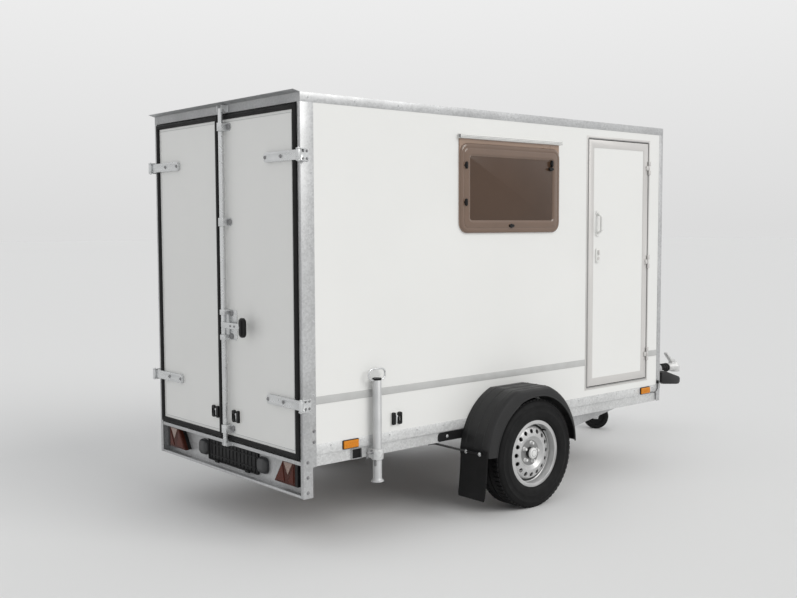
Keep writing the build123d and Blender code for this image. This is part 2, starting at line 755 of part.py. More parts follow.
def wall_right():
    """Right wall with the doorway and the window cut."""
    wall = other_side(side_wall())
    y = (-HALF, -WALL_IN + SHEET)
    gap = LEAF_GAP + FRAME_SHEET
    (x0, x1), (z0, z1) = LEAF_X, LEAF_Z
    wall -= block((x0 - gap, x1 + gap), y, (z0 - gap, z1 + gap))
    inset = WINDOW_INSET
    (x0, x1), (z0, z1) = WINDOW_X, WINDOW_Z
    wall -= block((x0 + inset, x1 - inset), y, (z0 + inset, z1 - inset))
    return wall


def wall_front():
    return block((WALL_X[1] - WALL, WALL_X[1]), (-WALL_OUT, WALL_OUT), WALL_Z)


def roof_panel():
    return block(WALL_X, (-WALL_OUT, WALL_OUT), (ROOF_Z - ROOF_PANEL, ROOF_Z))


def corner_posts():
    """Folded posts that wrap the ends of the walls."""
    t = SHEET
    side = [(0, HALF), (POST_FLANGE, HALF), (POST_FLANGE, WALL_OUT), (t, WALL_OUT)]
    jamb = [(t, WALL_IN), (JAMB_DEPTH, WALL_IN), (JAMB_DEPTH, JAMB), (0, JAMB)]
    rear = along_z(side + jamb, (FLOOR_TOP, HEADER_Z))
    rear += block((0, POST_FLANGE), (WALL_OUT, HALF), (RAIL_BOTTOM, FLOOR_TOP))
    rear += block((0, POST_FLANGE_LOW), (WALL_OUT, HALF), (POST_BOTTOM, FLOOR_TOP))
    rear += block((0, t), (JAMB, HALF), (POST_BOTTOM, FLOOR_TOP))
    end, inner = BOX_LENGTH, HALF - FRONT_FLANGE
    angle = [
        (end, HALF),
        (end - FRONT_FLANGE, HALF),
        (end - FRONT_FLANGE, WALL_OUT),
        (end - t, WALL_OUT),
        (end - t, inner),
        (end, inner),
    ]
    front = along_z(angle, (RAIL_BOTTOM, HEADER_Z))
    return both(rear) + both(front)


EDGE_INNER = HALF - EDGE_TOP_FLANGE


def roof_edges():
    """Angle profiles over the joints of roof and walls, one per side and one in front."""
    side = [
        (HALF, HEADER_Z),
        (HALF, ROOF_TOP),
        (EDGE_INNER, ROOF_TOP),
        (EDGE_INNER, ROOF_Z),
        (WALL_OUT, ROOF_Z),
        (WALL_OUT, HEADER_Z),
    ]
    end, back = BOX_LENGTH, BOX_LENGTH - EDGE_TOP_FLANGE
    front = [
        (end, HEADER_Z),
        (end, ROOF_TOP),
        (back, ROOF_TOP),
        (back, ROOF_Z),
        (end - SHEET, ROOF_Z),
        (end - SHEET, HEADER_Z),
    ]
    return both(along_x(side, (0, end))) + [along_y(front, (-EDGE_INNER, EDGE_INNER))]


def rear_header():
    """Folded head of the rear frame with its rain gutter and the stop behind the doors."""
    t = SHEET
    stop = DOOR + DOOR_GAP
    lip = ROOF_TOP + GUTTER_RISE
    fold = [
        (0, HEADER_Z),
        (0, ROOF_TOP),
        (EDGE_TOP_FLANGE, ROOF_TOP),
        (EDGE_TOP_FLANGE, ROOF_Z),
        (t, ROOF_Z),
        (t, HEADER_Z + t),
        (stop + t, HEADER_Z + t),
        (stop + t, HEADER_Z - STOP_DEPTH),
        (stop, HEADER_Z - STOP_DEPTH),
        (stop, HEADER_Z),
    ]
    gutter = [(0, ROOF_TOP - t), (-GUTTER_BACK, lip - t), (-GUTTER_BACK, lip), (0, ROOF_TOP)]
    return along_y(fold, (-EDGE_INNER, EDGE_INNER)) + along_y(gutter, (-HALF, HALF))


def lamp_carrier():
    """Channel across the back, open to the rear, that carries the lamps."""
    t, x0 = RAIL_SHEET, SHEET
    x1, low, top = SHEET + CARRIER_DEPTH, POST_BOTTOM, CARRIER_TOP
    fold = [
        (x0, top - CARRIER_LIP),
        (x0, top),
        (x1, top),
        (x1, low),
        (x0, low),
        (x0, low + CARRIER_FOOT),
        (x0 + t, low + CARRIER_FOOT),
        (x0 + t, low + t),
        (x1 - t, low + t),
        (x1 - t, top - t),
        (x0 + t, top - t),
        (x0 + t, top - CARRIER_LIP),
    ]
    return along_y(fold, (-WALL_OUT, WALL_OUT))


WEB_REAR = SHEET + CARRIER_DEPTH - RAIL_SHEET


def lamp_outline():
    """Right tail lamp seen from behind."""
    outer, top = HALF - LAMP_FROM_SIDE, CARRIER_TOP - LAMP_DROP
    low = top - LAMP_HEIGHT
    return [
        (-outer, low),
        (-outer + LAMP_WIDTH_LOW, low),
        (-outer + LAMP_WIDTH_TOP, top),
        (-outer, top),
    ]


def tail_lamp_lenses():
    """Red lenses, each with a sunk three-cornered field for its pale reflector."""
    lens = along_x(lamp_outline(), (LAMP_FACE, LAMP_FACE + LENS))
    outer, low = HALF - LAMP_FROM_SIDE, CARRIER_TOP - LAMP_DROP - LAMP_HEIGHT
    shares = [(0.10, 0.92), (0.33, 0.42), (0.52, 0.92)]
    field = [(LAMP_WIDTH_LOW * u - outer, low + LAMP_HEIGHT * v) for u, v in shares]
    return both(lens - along_x(field, (LAMP_FACE, LAMP_FACE + LENS_POCKET)))


PLATE_Z = CARRIER_TOP - PLATE_DROP - PLATE_SIZE[1] / 2


def lamp_housings():
    """Black housings: tail lamps, plate holder and its lamps, gland of the marker's lead."""
    tail = along_x(lamp_outline(), (LAMP_FACE + LENS, WEB_REAR))
    (outer, low), (_, top) = lamp_outline()[0], lamp_outline()[-1]
    tail += block((LAMP_FACE + LAMP_RIM_SUNK, WEB_REAR), (outer - LAMP_RIM, outer), (low, top))
    width, height = PLATE_SIZE
    holder = block((PLATE_FACE, WEB_REAR), about(0, width), about(PLATE_Z, height))
    start = width / 2 + 1
    lamp_y = (start, start + PLATE_LAMP[0])
    lamp = block((PLATE_LAMP_FACE, WEB_REAR), lamp_y, about(PLATE_Z, PLATE_LAMP[1]))
    lamp = fillet(lamp.edges().filter_by(Axis.X), 0.18 * PLATE_LAMP[1])
    length, depth, rise = GLAND
    gland = block(about(LEAD_X, length), (-HALF - depth, -HALF), (LEAD_Z, LEAD_Z + rise))
    gland = chamfer(gland.edges().group_by(Axis.Y)[0], 0.25 * depth)
    return both(tail) + [holder] + both(lamp) + [gland]


def side_markers():
    length, height, depth = MARKER
    z = (RAIL_STEP + FLOOR_TOP) / 2
    lamps = []
    for x in MARKER_STATIONS:
        lamp = block(about(x, length), (HALF, HALF + depth), about(z, height))
        lamps += both(chamfer(lamp.edges().filter_by(Axis.Y), height / 8))
    return lamps


def marker_lead():
    """Lead that hangs in a loop from its gland on the right front post to the marker."""
    x, end = LEAD_X, MARKER_STATIONS[1] + MARKER[0] / 2
    low = RAIL_STEP + LEAD_ENTRY
    points = [
        (x, LEAD_Z),
        (x, LEAD_Z - 21),
        (x - 12, LEAD_Z - 43),
        (end + 56, low - 7),
        (end + 27, low),
        (end, low),
    ]
    route = [Vector(px, -HALF - LEAD_OFF, pz) for px, pz in points]
    runs = [b - a for a, b in zip(route, route[1:])]
    radii = []
    for before, after in zip(runs, runs[1:]):
        half_turn = radians(before.get_angle(after) / 2)
        radii.append(0.45 * min(before.length, after.length) / tan(half_turn))
    print("lead radii", [round(r, 1) for r in radii])
    path = FilletPolyline(*route, radius=radii)
    start = Plane(origin=path @ 0, z_dir=path % 0)
    return sweep(start * Circle(LEAD_RADIUS), path=path)


def side_strips():
    """Grey rubbing strips along both sides."""
    end = BOX_LENGTH - FRONT_FLANGE
    y = (-HALF, -WALL_OUT)
    rear = block((POST_FLANGE, LEAF_X[0] - FRAME_OUT), y, STRIP_Z)
    front = block((LEAF_X[1] + FRAME_OUT, end), y, STRIP_Z)
    left = other_side(block((POST_FLANGE, end), y, STRIP_Z))
    return [rear, front, left]


def window_frame():
    """White head rail that the pane hangs from, and the lining of the cut."""
    over, inset, t = HEAD_RAIL_OVER, WINDOW_INSET, WINDOW_LINING
    (x0, x1), (z0, z1) = WINDOW_X, WINDOW_Z
    rail = block((x0 - over, x1 + over), (-HALF - PANE - 4, -WALL_OUT), (z1, z1 + HEAD_RAIL))
    rail = chamfer(rail.edges().filter_by(Axis.X).group_by(Axis.Y)[0], HEAD_RAIL / 4)
    x = (x0 + inset, x1 - inset)
    z = (z0 + inset, z1 - inset)
    y = (-WALL_OUT, -WALL_IN)
    lining = block(x, y, z) - block((x[0] + t, x[1] - t), y, (z[0] + t, z[1] - t))
    return [rail, lining]


def plate_y(x, y, z, radius):
    """A plate in the XZ plane with round corners."""
    plate = block(x, y, z)
    return fillet(plate.edges().filter_by(Axis.Y), radius)


def window_pane():
    """Tinted pane: a flat flange in the head rail, a raised body and its sunk field."""
    (x0, x1), (z0, z1) = WINDOW_X, WINDOW_Z
    front, inset = -HALF - PANE, FIELD_INSET
    flange = block(WINDOW_X, (-HALF - PANE_FLANGE, -WALL_OUT), WINDOW_Z)
    flange = fillet(flange.edges().filter_by(Axis.Y).group_by(Axis.Z)[0], WINDOW_RADIUS)
    body = plate_y(WINDOW_X, (front, -HALF), (z0, z1 - PANE_HANG), WINDOW_RADIUS)
    body = chamfer(body.faces().sort_by(Axis.Y)[0].edges(), 0.4 * PANE)
    field_x, field_z = (x0 + inset, x1 - inset), (z0 + inset, z1 - PANE_HANG - inset)
    return flange + body - plate_y(field_x, (front, front + FIELD_DEPTH), field_z, FIELD_RADIUS)


def side_door_frame():
    """Aluminium frame lining the doorway, with the pins of the hinges."""
    gap, t, out = LEAF_GAP, FRAME_SHEET, FRAME_OUT
    (x0, x1), (z0, z1) = LEAF_X, LEAF_Z
    edge = gap + t
    frame = block((x0 - edge, x1 + edge), (-HALF, -WALL_IN), (z0 - edge, z1 + edge))
    frame += block((x0 - out, x1 + out), (-HALF, -WALL_OUT), (z0 - out, z1 + out))
    frame -= block((x0 - gap, x1 + gap), (-HALF, 0), (z0 - gap, z1 + gap))
    x, y = SIDE_PIN
    for z in SIDE_HINGES:
        for step in (-SIDE_HINGE_HEIGHT, SIDE_HINGE_HEIGHT):
            ends = about(z + step, SIDE_HINGE_HEIGHT)
            frame += bar_z(x, y, SIDE_KNUCKLE, ends)
            frame += block((x, x1 + out), (y, -HALF), ends)
        frame += bar_z(x, y, SIDE_PIN_RADIUS, about(z, 3 * SIDE_HINGE_HEIGHT))
    return frame


def side_door_edge():
    """Edge profile around the leaf with its halves of the hinges."""
    (x0, x1), (z0, z1) = LEAF_X, LEAF_Z
    edge = LEAF_EDGE
    y = (-HALF, -WALL_IN)
    ring = block((x0, x1), y, (z0, z1))
    ring -= block((x0 + edge, x1 - edge), y, (z0 + edge, z1 - edge))
    px, py = SIDE_PIN
    for z in SIDE_HINGES:
        ends = about(z, SIDE_HINGE_HEIGHT - 1)
        ring += bar_z(px, py, SIDE_KNUCKLE, ends)
        ring += block((px - LEAF_EDGE / 2, px), (py, -HALF), ends)
        ring -= bar_z(px, py, SIDE_PIN_RADIUS + PIN_CLEARANCE, ends)
    return ring


def side_door_leaf():
    (x0, x1), (z0, z1) = LEAF_X, LEAF_Z
    edge = LEAF_EDGE
    return block((x0 + edge, x1 - edge), (-WALL_OUT, -WALL_IN), (z0 + edge, z1 - edge))


def side_door_handle():
    """Bow grip on two pads' plate, and the lock below it."""
    x = LEAF_X[0] + HANDLE_FROM_EDGE
    z = LEAF_Z[0] + HANDLE_SHARE * (LEAF_Z[1] - LEAF_Z[0])
    y = -WALL_OUT
    plate = plate_y(about(x, 38), (y - 4, y), about(z, 164), 16)
    bow = block(about(x, 22), (y - 34, y), about(z, 136))
    bow = fillet(bow.edges().filter_by(Axis.X).group_by(Axis.Y)[0], 20)
    hollow = block(about(x, 22), (y - 22, y - 4), about(z, 92))
    hollow = fillet(hollow.edges().filter_by(Axis.X).group_by(Axis.Y)[0], 10)
    lock = plate_y(about(x, 38), (y - 10, y), about(z - LOCK_BELOW_GRIP, 96), 15)
    return [plate + bow - hollow, lock]


def leg_clamps():
    """Clamps on the webs of the rails that hold the legs."""
    z = about(RAIL_BOTTOM + 19, LEG_CLAMP_HEIGHT)
    ring = bar_z(LEG_X, LEG_Y, LEG_RADIUS + LEG_CLAMP, z)
    foot = block(about(LEG_X, 72), (RAIL_WEB, LEG_Y - 10), (RAIL_BOTTOM, z[1]))
    bore = bar_z(LEG_X, LEG_Y, LEG_RADIUS + LEG_CLEARANCE, z)
    return both(ring + foot - bore)


def leg():
    """Left leg: tube, flared foot and the wire loop it is pulled by."""
    foot_top = LEG_FOOT_Z + LEG_FOOT
    tube = bar_z(LEG_X, LEG_Y, LEG_RADIUS, (foot_top, LEG_TOP))
    tube -= bar_z(LEG_X, LEG_Y, LEG_RADIUS - 3, (LEG_TOP - 60, LEG_TOP))
    flare = Cone(LEG_FOOT_RADIUS - LEG_FOOT / 2, LEG_RADIUS, LEG_FLARE)
    tube += Pos(LEG_X, LEG_Y, foot_top + LEG_FLARE / 2) * flare
    foot = bar_z(LEG_X, LEG_Y, LEG_FOOT_RADIUS, (LEG_FOOT_Z, foot_top))
    foot = fillet(foot.edges(), LEG_FOOT / 3)
    low, high = LEG_TOP - LOOP_DROP, LEG_TOP + LOOP_RISE
    oval = RectangleRounded(2 * LOOP_HALF, high - low, 0.46 * (high - low)).wire()
    path = Pos(LEG_X, LEG_Y, (low + high) / 2) * Rot(90, 0, 0) * oval
    start = Plane(origin=path @ 0, z_dir=path % 0)
    return tube + foot + sweep(start * Circle(LOOP_WIRE), path=path)


def catch_plate(u):
    """A catch lying flat: its plate, two cheeks and the hook between them, about x = u."""
    size, top = CATCH_SIZE, CATCH_PLATE + CATCH_NOSE
    cheek = CATCH_CHEEK * size
    catch = block(about(u, size), (0, CATCH_PLATE), about(CATCH_Z, size))
    for middle in (u - (size - cheek) / 2, u + (size - cheek) / 2):
        catch += block(about(middle, cheek), (0, top), about(CATCH_Z, 0.92 * size))
    return catch + block(about(u, 0.2 * size), (0, 0.8 * top), about(CATCH_Z, 0.5 * size))


def catch_on_wall(reach):
    """Catch on the left wall for a door catch that far from its hinge pin."""
    return Pos(0, WALL_OUT, 0) * catch_plate(reach - HINGE_PIN_BACK)


CATCH_RIGHT_Y = DOOR_MEET - CATCH_FROM_MEET_RIGHT
CATCH_LEFT_Y = DOOR_MEET + CATCH_FROM_MEET_LEFT


def wall_catches():
    """Black catches on the side walls that hold the opened rear doors."""
    left = catch_on_wall(HINGE_PIN_Y - CATCH_LEFT_Y)
    right = other_side(catch_on_wall(HINGE_PIN_Y + CATCH_RIGHT_Y))
    return [left, right]


def catch_on_door(y):
    return Rot(0, 0, 90) * catch_plate(y)


JOCKEY_Y = beam_y(JOCKEY_X) + BEAM_SIDE + JOCKEY_STAND + JOCKEY_TUBE


def jockey_outer_tube():
    """Clamp on the drawbar, its tube and the crank on top."""
    x, y, top = JOCKEY_X, JOCKEY_Y, JOCKEY_TOP
    bore = JOCKEY_INNER + JOCKEY_CLEARANCE
    tube = bar_z(x, y, JOCKEY_TUBE, (BEAM_BOTTOM, top))
    tube += bar_z(x, y, JOCKEY_TUBE + 5, (top, top + 22))
    tube += bar_z(x, y, 8, (top + 22, top + 42))
    tube += block((x - CRANK_REACH - 8, x + 8), about(y, 16), (top + 42, top + 52))
    tube += bar_z(x - CRANK_REACH, y, 12, (top + 52, top + 52 + CRANK_GRIP))
    z = (BEAM_BOTTOM + 12, RAIL_BOTTOM - 12)
    tube += bar_z(x, y, JOCKEY_TUBE + 8, z)
    face = BEAM_WIDTH / 2
    seat = block(about(0, 90), (face, face + JOCKEY_STAND + 4), z)
    turn = degrees(atan2(BEAM_DROP, BEAM_RUN))
    tube += Pos(x, beam_y(x), 0) * Rot(0, 0, turn) * seat
    return tube - bar_z(x, y, bore, (BEAM_BOTTOM, top - 60))


def jockey_inner_tube():
    return bar_z(JOCKEY_X, JOCKEY_Y, JOCKEY_INNER, (JOCKEY_FORK_TOP + 0.6, JOCKEY_TOP - 200))


def swung(shape):
    """A jockey piece turned with the fork at rest."""
    return Pos(JOCKEY_X, JOCKEY_Y, 0) * Rot(0, 0, JOCKEY_TURN) * shape


def jockey_fork():
    top, trail, radius = JOCKEY_FORK_TOP, JOCKEY_TRAIL, JOCKEY_WHEEL_RADIUS
    inner = JOCKEY_WHEEL_HALF + JOCKEY_SIDE_GAP
    outer = inner + JOCKEY_FORK_SHEET
    nose = JOCKEY_INNER + 7
    bridge = block((-trail, nose), (-outer, outer), (top - 8, top))
    cheek = along_y(
        [(-trail - 18, radius - 18), (-trail + 18, radius - 18), (nose, top), (-trail, top)],
        (inner, outer),
    )
    pin = bar_y(-trail, radius, JOCKEY_AXLE, (-outer - 7, outer + 7))
    return swung(bridge + cheek + other_side(cheek) + pin)


def jockey_wheel():
    half, radius = JOCKEY_WHEEL_HALF, JOCKEY_WHEEL_RADIUS
    bore, boss, rim_edge = JOCKEY_AXLE + 0.6, 0.26 * radius, 0.66 * radius
    side = [
        (bore, half),
        (boss, half),
        (boss, half - 9),
        (rim_edge, half - 9),
        (rim_edge, half - 1),
        (radius - 7, half - 1),
        (radius, half - 9),
    ]
    outline = side + [(r, -d) for r, d in reversed(side)]
    return swung(Pos(-JOCKEY_TRAIL, 0, radius) * revolve(face_of(outline), Axis.Y))


def door_span(side):
    """Outer edges of a rear door, low y first; side is 1 on the left."""
    if side > 0:
        return DOOR_MEET + DOOR_MEET_GAP / 2, JAMB - DOOR_GAP
    return -JAMB + DOOR_GAP, DOOR_MEET - DOOR_MEET_GAP / 2


def rear_door(side):
    low, high = door_span(side)
    edge = GASKET_EDGE
    return block((0, DOOR), (low + edge, high - edge), (DOOR_BOTTOM + edge, DOOR_TOP - edge))


def door_gasket(side):
    """Rubber profile round the edge of a door, with a flange on its face."""
    low, high = door_span(side)
    edge, face, proud = GASKET_EDGE, GASKET_FACE, GASKET_PROUD
    z0, z1 = DOOR_BOTTOM, DOOR_TOP
    ring = block((-proud, DOOR), (low, high), (z0, z1))
    ring -= block((0, DOOR), (low + edge, high - edge), (z0 + edge, z1 - edge))
    ring -= block((-proud, 0), (low + face, high - face), (z0 + face, z1 - face))
    return ring


def door_straps():
    """Left door's hinge straps, each bent to a knuckle round its pin."""
    straps = []
    back, tip = -GASKET_PROUD, HALF - STRAP_REACH
    seat = JAMB - DOOR_GAP - GASKET_FACE
    px, py = -HINGE_PIN_BACK, HINGE_PIN_Y
    face = back - STRAP
    for z in HINGE_LEVELS:
        zs = about(z, HINGE_HEIGHT)
        strap = block((face, back), (tip, py), zs)
        strap += block((back, 0), (tip, seat), zs)
        strap = chamfer(strap.edges().filter_by(Axis.X).group_by(Axis.Y)[0], HINGE_HEIGHT / 5)
        groove_y = (tip + HINGE_HEIGHT / 2, seat)
        strap -= block((face, face + STRAP_GROOVE), groove_y, about(z, HINGE_HEIGHT / 2))
        strap += block((px, back), about(py, 8), zs)
        strap += bar_z(px, py, HINGE_KNUCKLE, zs)
        strap -= bar_z(px, py, HINGE_PIN + PIN_CLEARANCE, zs)
        straps.append(strap)
    return straps


def hinge_bracket(z):
    """Left bracket: a plate on the post and two ears that hold the pin."""
    ear = HINGE_EAR
    px, py = -HINGE_PIN_BACK, HINGE_PIN_Y
    height = HINGE_HEIGHT + 2
    bracket = block((0, HINGE_WRAP), (HALF, HALF + ear), about(z, height + 2 * ear))
    for level in (z - height / 2 - ear, z + height / 2):
        ends = (level, level + ear)
        bracket += block((px, 20), (HALF, py + HINGE_EYE - 3), ends)
        bracket += bar_z(px, py, HINGE_EYE, ends)
    return bracket + bar_z(px, py, HINGE_PIN, about(z, height + 2 * ear + 8))


def bar_keeper(x, z):
    """Two cheeks on a plate, open to the rear, that the end of the bar turns into."""
    t = 4.0
    keeper = block((x - 3, x), about(BAR_Y, 2 * KEEPER_HALF + 20), z)
    for y in (BAR_Y - KEEPER_HALF, BAR_Y + KEEPER_HALF - t):
        keeper += block((-BAR_BACK - 8, x), (y, y + t), z)
    return keeper


def frame_fittings():
    """Hinge brackets with their pins, and the two keepers of the lock bar."""
    fittings = []
    for z in HINGE_LEVELS:
        fittings += both(hinge_bracket(z))
    fittings.append(bar_keeper(0.0, (HEADER_Z + 4, ROOF_TOP - 6)))
    fittings.append(bar_keeper(SHEET, (CARRIER_TOP - CARRIER_LIP, CARRIER_TOP)))
    return fittings


LEVER_BACK = (-BAR_BACK - 17.0, -BAR_BACK - 9.0)


def lock_bar():
    """Upright locking bar with the lever that turns it."""
    bar = bar_z(-BAR_BACK, BAR_Y, BAR_RADIUS, BAR_ENDS)
    return bar + block(LEVER_BACK, (KNOB_Y, BAR_Y), about(LOCK_Z, LEVER_HEIGHT))


def bar_guide(z):
    """Saddle round the bar, before its bore is cut."""
    back = -BAR_BACK
    saddle = block((back, 0), about(BAR_Y, 2 * GUIDE_RADIUS), z)
    return saddle + bar_z(back, BAR_Y, GUIDE_RADIUS, z)


def door_right_fittings():
    """Hinge straps, guides of the lock bar and the plate behind its lever."""
    fittings = [other_side(strap) for strap in door_straps()]
    bore = bar_z(-BAR_BACK, BAR_Y, BAR_RADIUS + GUIDE_CLEARANCE, (0, ROOF_TOP))
    for level in GUIDE_LEVELS:
        z = about(level, GUIDE_HEIGHT)
        foot = block((-GUIDE_PLATE, 0), (BAR_Y - 60, BAR_Y + 24), z)
        foot = fillet(foot.edges().filter_by(Axis.X), 0.48 * GUIDE_HEIGHT)
        fittings.append(foot + bar_guide(z) - bore)
    right, left = LOCK_PLATE_REACH
    z0, z1 = about(LOCK_Z, LOCK_PLATE_HEIGHT)
    plate = block((-GUIDE_PLATE, 0), (BAR_Y - right, BAR_Y + left), (z0, z1))
    plate = fillet(plate.edges().filter_by(Axis.X), LOCK_GUIDE_HEIGHT / 2)
    plate += bar_guide((z0, z0 + LOCK_GUIDE_HEIGHT))
    plate += bar_guide((z1 - LOCK_GUIDE_HEIGHT, z1))
    fittings.append(plate - bore)
    return fittings


def lock_knob():
    """Black lock at the end of the lever: a round-ended case with a grip ridge."""
    width, height = KNOB_SIZE
    ridge_x = (-KNOB_BACK, KNOB_RIDGE - KNOB_BACK)
    case = block((ridge_x[1], LEVER_BACK[0]), about(KNOB_Y, width), about(LOCK_Z, height))
    case = fillet(case.edges().filter_by(Axis.X), 0.4 * width)
    ridge = block(ridge_x, about(KNOB_Y, 0.34 * width), about(LOCK_Z, 0.84 * height))
    return case + fillet(ridge.edges().filter_by(Axis.X), 0.15 * width)


os.makedirs("parts", exist_ok=True)

hub_left, rim_left, tyre_left, leg_left = hub(), rim(), tyre(), leg()
NODES = {
    "side_rails": side_rails(),
    "cross_members": cross_members(),
    "drawbar_beams": drawbar_beams(),
    "overrun_housing": [overrun_housing()],
    "overrun_bellows": [overrun_bellows()],
    "coupling_head": [coupling_head()],
    "coupling_handle": [coupling_handle()],
    "handbrake_lever": [handbrake_lever()],
    "brake_rod": [brake_rod()],
    "axle_tube": [axle_tube()],
    "axle_arms": axle_arms(),
    "mudguards": mudguards(),
    "mudflaps": mudflaps(),
    "guard_stays": guard_stays(),
    "floor_panel": [floor_panel()],
    "wall_left": [side_wall()],
    "wall_right": [wall_right()],
    "wall_front": [wall_front()],
    "roof_panel": [roof_panel()],
    "corner_posts": corner_posts(),
    "roof_edges": roof_edges(),
    "rear_header": [rear_header()],
    "lamp_carrier": [lamp_carrier()],
    "lamp_housings": lamp_housings(),
    "tail_lamp_lenses": tail_lamp_lenses(),
    "side_markers": side_markers(),
    "marker_lead": [marker_lead()],
    "side_strips": side_strips(),
    "window_frame": window_frame(),
    "window_pane": [window_pane()],
    "side_door_frame": [side_door_frame()],
    "leg_clamps": leg_clamps(),
    "wall_catches": wall_catches(),
    "frame_fittings": frame_fittings(),
    "jockey_outer_tube": [jockey_outer_tube()],
    "jockey_inner_tube": [jockey_inner_tube()],
    "jockey_fork": [jockey_fork()],
    "jockey_wheel": [jockey_wheel()],
    "leg_left": [leg_left],
    "leg_right": [other_side(leg_left)],
    "hub_left": [hub_left],
    "hub_right": [other_side(hub_left)],
    "rim_left": [rim_left],
    "rim_right": [other_side(rim_left)],
    "tyre_left": [tyre_left],
    "tyre_right": [other_side(tyre_left)],
    "rear_door_left": [rear_door(1)],
    "rear_door_left_gasket": [door_gasket(1)],
    "rear_door_left_straps": door_straps(),
    "rear_door_left_catch": [catch_on_door(CATCH_LEFT_Y)],
    "rear_door_right": [rear_door(-1)],
    "rear_door_right_gasket": [door_gasket(-1)],
    "rear_door_right_fittings": door_right_fittings(),
    "rear_door_right_catch": [catch_on_door(CATCH_RIGHT_Y)],
    "lock_bar": [lock_bar()],
    "lock_knob": [lock_knob()],
    "side_door_leaf": [side_door_leaf()],
    "side_door_edge": [side_door_edge()],
    "side_door_handle": side_door_handle(),
}

for name, shapes in NODES.items():
    solids = [solid for shape in shapes for solid in shape.solids()]
    placed = [Pos(REAR_X, 0, 0) * solid for solid in solids]
    export_step(Compound(placed), f"parts/{name}.step")
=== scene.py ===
import bmesh
import bpy
import json
from math import cos, pi, radians, sin
from mathutils import Matrix, Vector


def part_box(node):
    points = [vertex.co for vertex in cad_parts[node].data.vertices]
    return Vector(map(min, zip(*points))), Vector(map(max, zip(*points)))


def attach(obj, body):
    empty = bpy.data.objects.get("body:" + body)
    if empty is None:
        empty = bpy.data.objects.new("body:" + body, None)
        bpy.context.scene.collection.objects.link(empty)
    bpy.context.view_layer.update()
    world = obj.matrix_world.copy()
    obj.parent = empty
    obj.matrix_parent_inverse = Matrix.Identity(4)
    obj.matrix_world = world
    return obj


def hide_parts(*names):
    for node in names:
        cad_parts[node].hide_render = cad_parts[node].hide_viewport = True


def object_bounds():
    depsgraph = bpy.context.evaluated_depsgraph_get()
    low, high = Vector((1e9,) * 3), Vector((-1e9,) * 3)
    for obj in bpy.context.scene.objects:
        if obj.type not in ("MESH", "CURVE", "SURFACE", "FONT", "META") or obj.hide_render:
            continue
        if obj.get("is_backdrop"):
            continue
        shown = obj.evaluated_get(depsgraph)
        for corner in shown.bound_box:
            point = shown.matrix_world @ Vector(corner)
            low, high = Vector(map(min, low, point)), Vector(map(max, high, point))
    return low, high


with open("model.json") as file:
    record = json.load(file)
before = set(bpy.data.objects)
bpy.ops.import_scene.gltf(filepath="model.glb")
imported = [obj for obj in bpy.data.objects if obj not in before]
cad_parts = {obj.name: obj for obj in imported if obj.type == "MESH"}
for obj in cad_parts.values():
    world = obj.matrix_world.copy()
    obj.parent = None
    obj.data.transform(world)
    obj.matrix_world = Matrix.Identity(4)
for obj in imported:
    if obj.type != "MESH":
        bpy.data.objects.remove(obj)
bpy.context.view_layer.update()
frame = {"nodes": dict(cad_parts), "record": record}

# Chassis: side rails and cross members folded from steel sheet, and two welded drawbar beams.
# All of it is dipped in zinc after welding, which leaves crystals and cloudy grey patches.
# Small screws hold the lip of each rail to the wall above it.
BODY_OF = {n: body for body, names in frame["record"]["behaviour"]["bodies"].items() for n in names}
SLOT_OF = {part["node"]: part["material_slot"] for part in frame["record"]["subparts"]}


def add(tree, kind, inputs=None, **settings):
    """A node of a tree: an input given as a socket is linked, any other is set."""
    made = tree.nodes.new(kind)
    for key, value in settings.items():
        setattr(made, key, value)
    for key, value in (inputs or {}).items():
        if isinstance(value, bpy.types.NodeSocket):
            tree.links.new(value, made.inputs[key])
        else:
            made.inputs[key].default_value = value
    return made


def drift(tree, place, scale, low, high):
    """Cloudy noise over the surface, from low to high."""
    cloud = add(tree, "ShaderNodeTexNoise", {"Vector": place, "Scale": scale, "Detail": 4.0})
    spread = {"Value": cloud.outputs["Fac"], "From Min": 0.3, "From Max": 0.7, "To Min": low, "To Max": high}
    return add(tree, "ShaderNodeMapRange", spread).outputs["Result"]


GLOSS_DRIFT, SKIN_DEPTH = 0.06, 0.0006


def finish(name, colour, rough, metal=0.0, mottle=0.06, cloud=6.0, grain=0.1, grit=400.0, **shader):
    """A surface whose tone and gloss drift in clouds, with a fine skin."""
    material = bpy.data.materials.new(name)
    material.use_nodes = True
    tree = material.node_tree
    skin = tree.nodes["Principled BSDF"]
    place = add(tree, "ShaderNodeTexCoord").outputs["Object"]
    tone = drift(tree, place, cloud, 1.0 - mottle, 1.0 + mottle)
    shade = add(tree, "ShaderNodeVectorMath", {0: colour, "Scale": tone}, operation="SCALE")
    gloss = drift(tree, place, cloud * 2.3, max(rough - GLOSS_DRIFT, 0.02), rough + GLOSS_DRIFT)
    dust = add(tree, "ShaderNodeTexNoise", {"Vector": place, "Scale": grit, "Detail": 2.0})
    relief = {"Height": dust.outputs["Fac"], "Strength": grain, "Distance": SKIN_DEPTH}
    bump = add(tree, "ShaderNodeBump", relief)
    tree.links.new(shade.outputs["Vector"], skin.inputs["Base Color"])
    tree.links.new(gloss, skin.inputs["Roughness"])
    tree.links.new(bump.outputs["Normal"], skin.inputs["Normal"])
    skin.inputs["Metallic"].default_value = metal
    for key, value in shader.items():
        skin.inputs[key.replace("_", " ")].default_value = value
    return material


CRYSTAL_TONES, CRYSTAL_GLOSS = (0.88, 1.08), 0.14


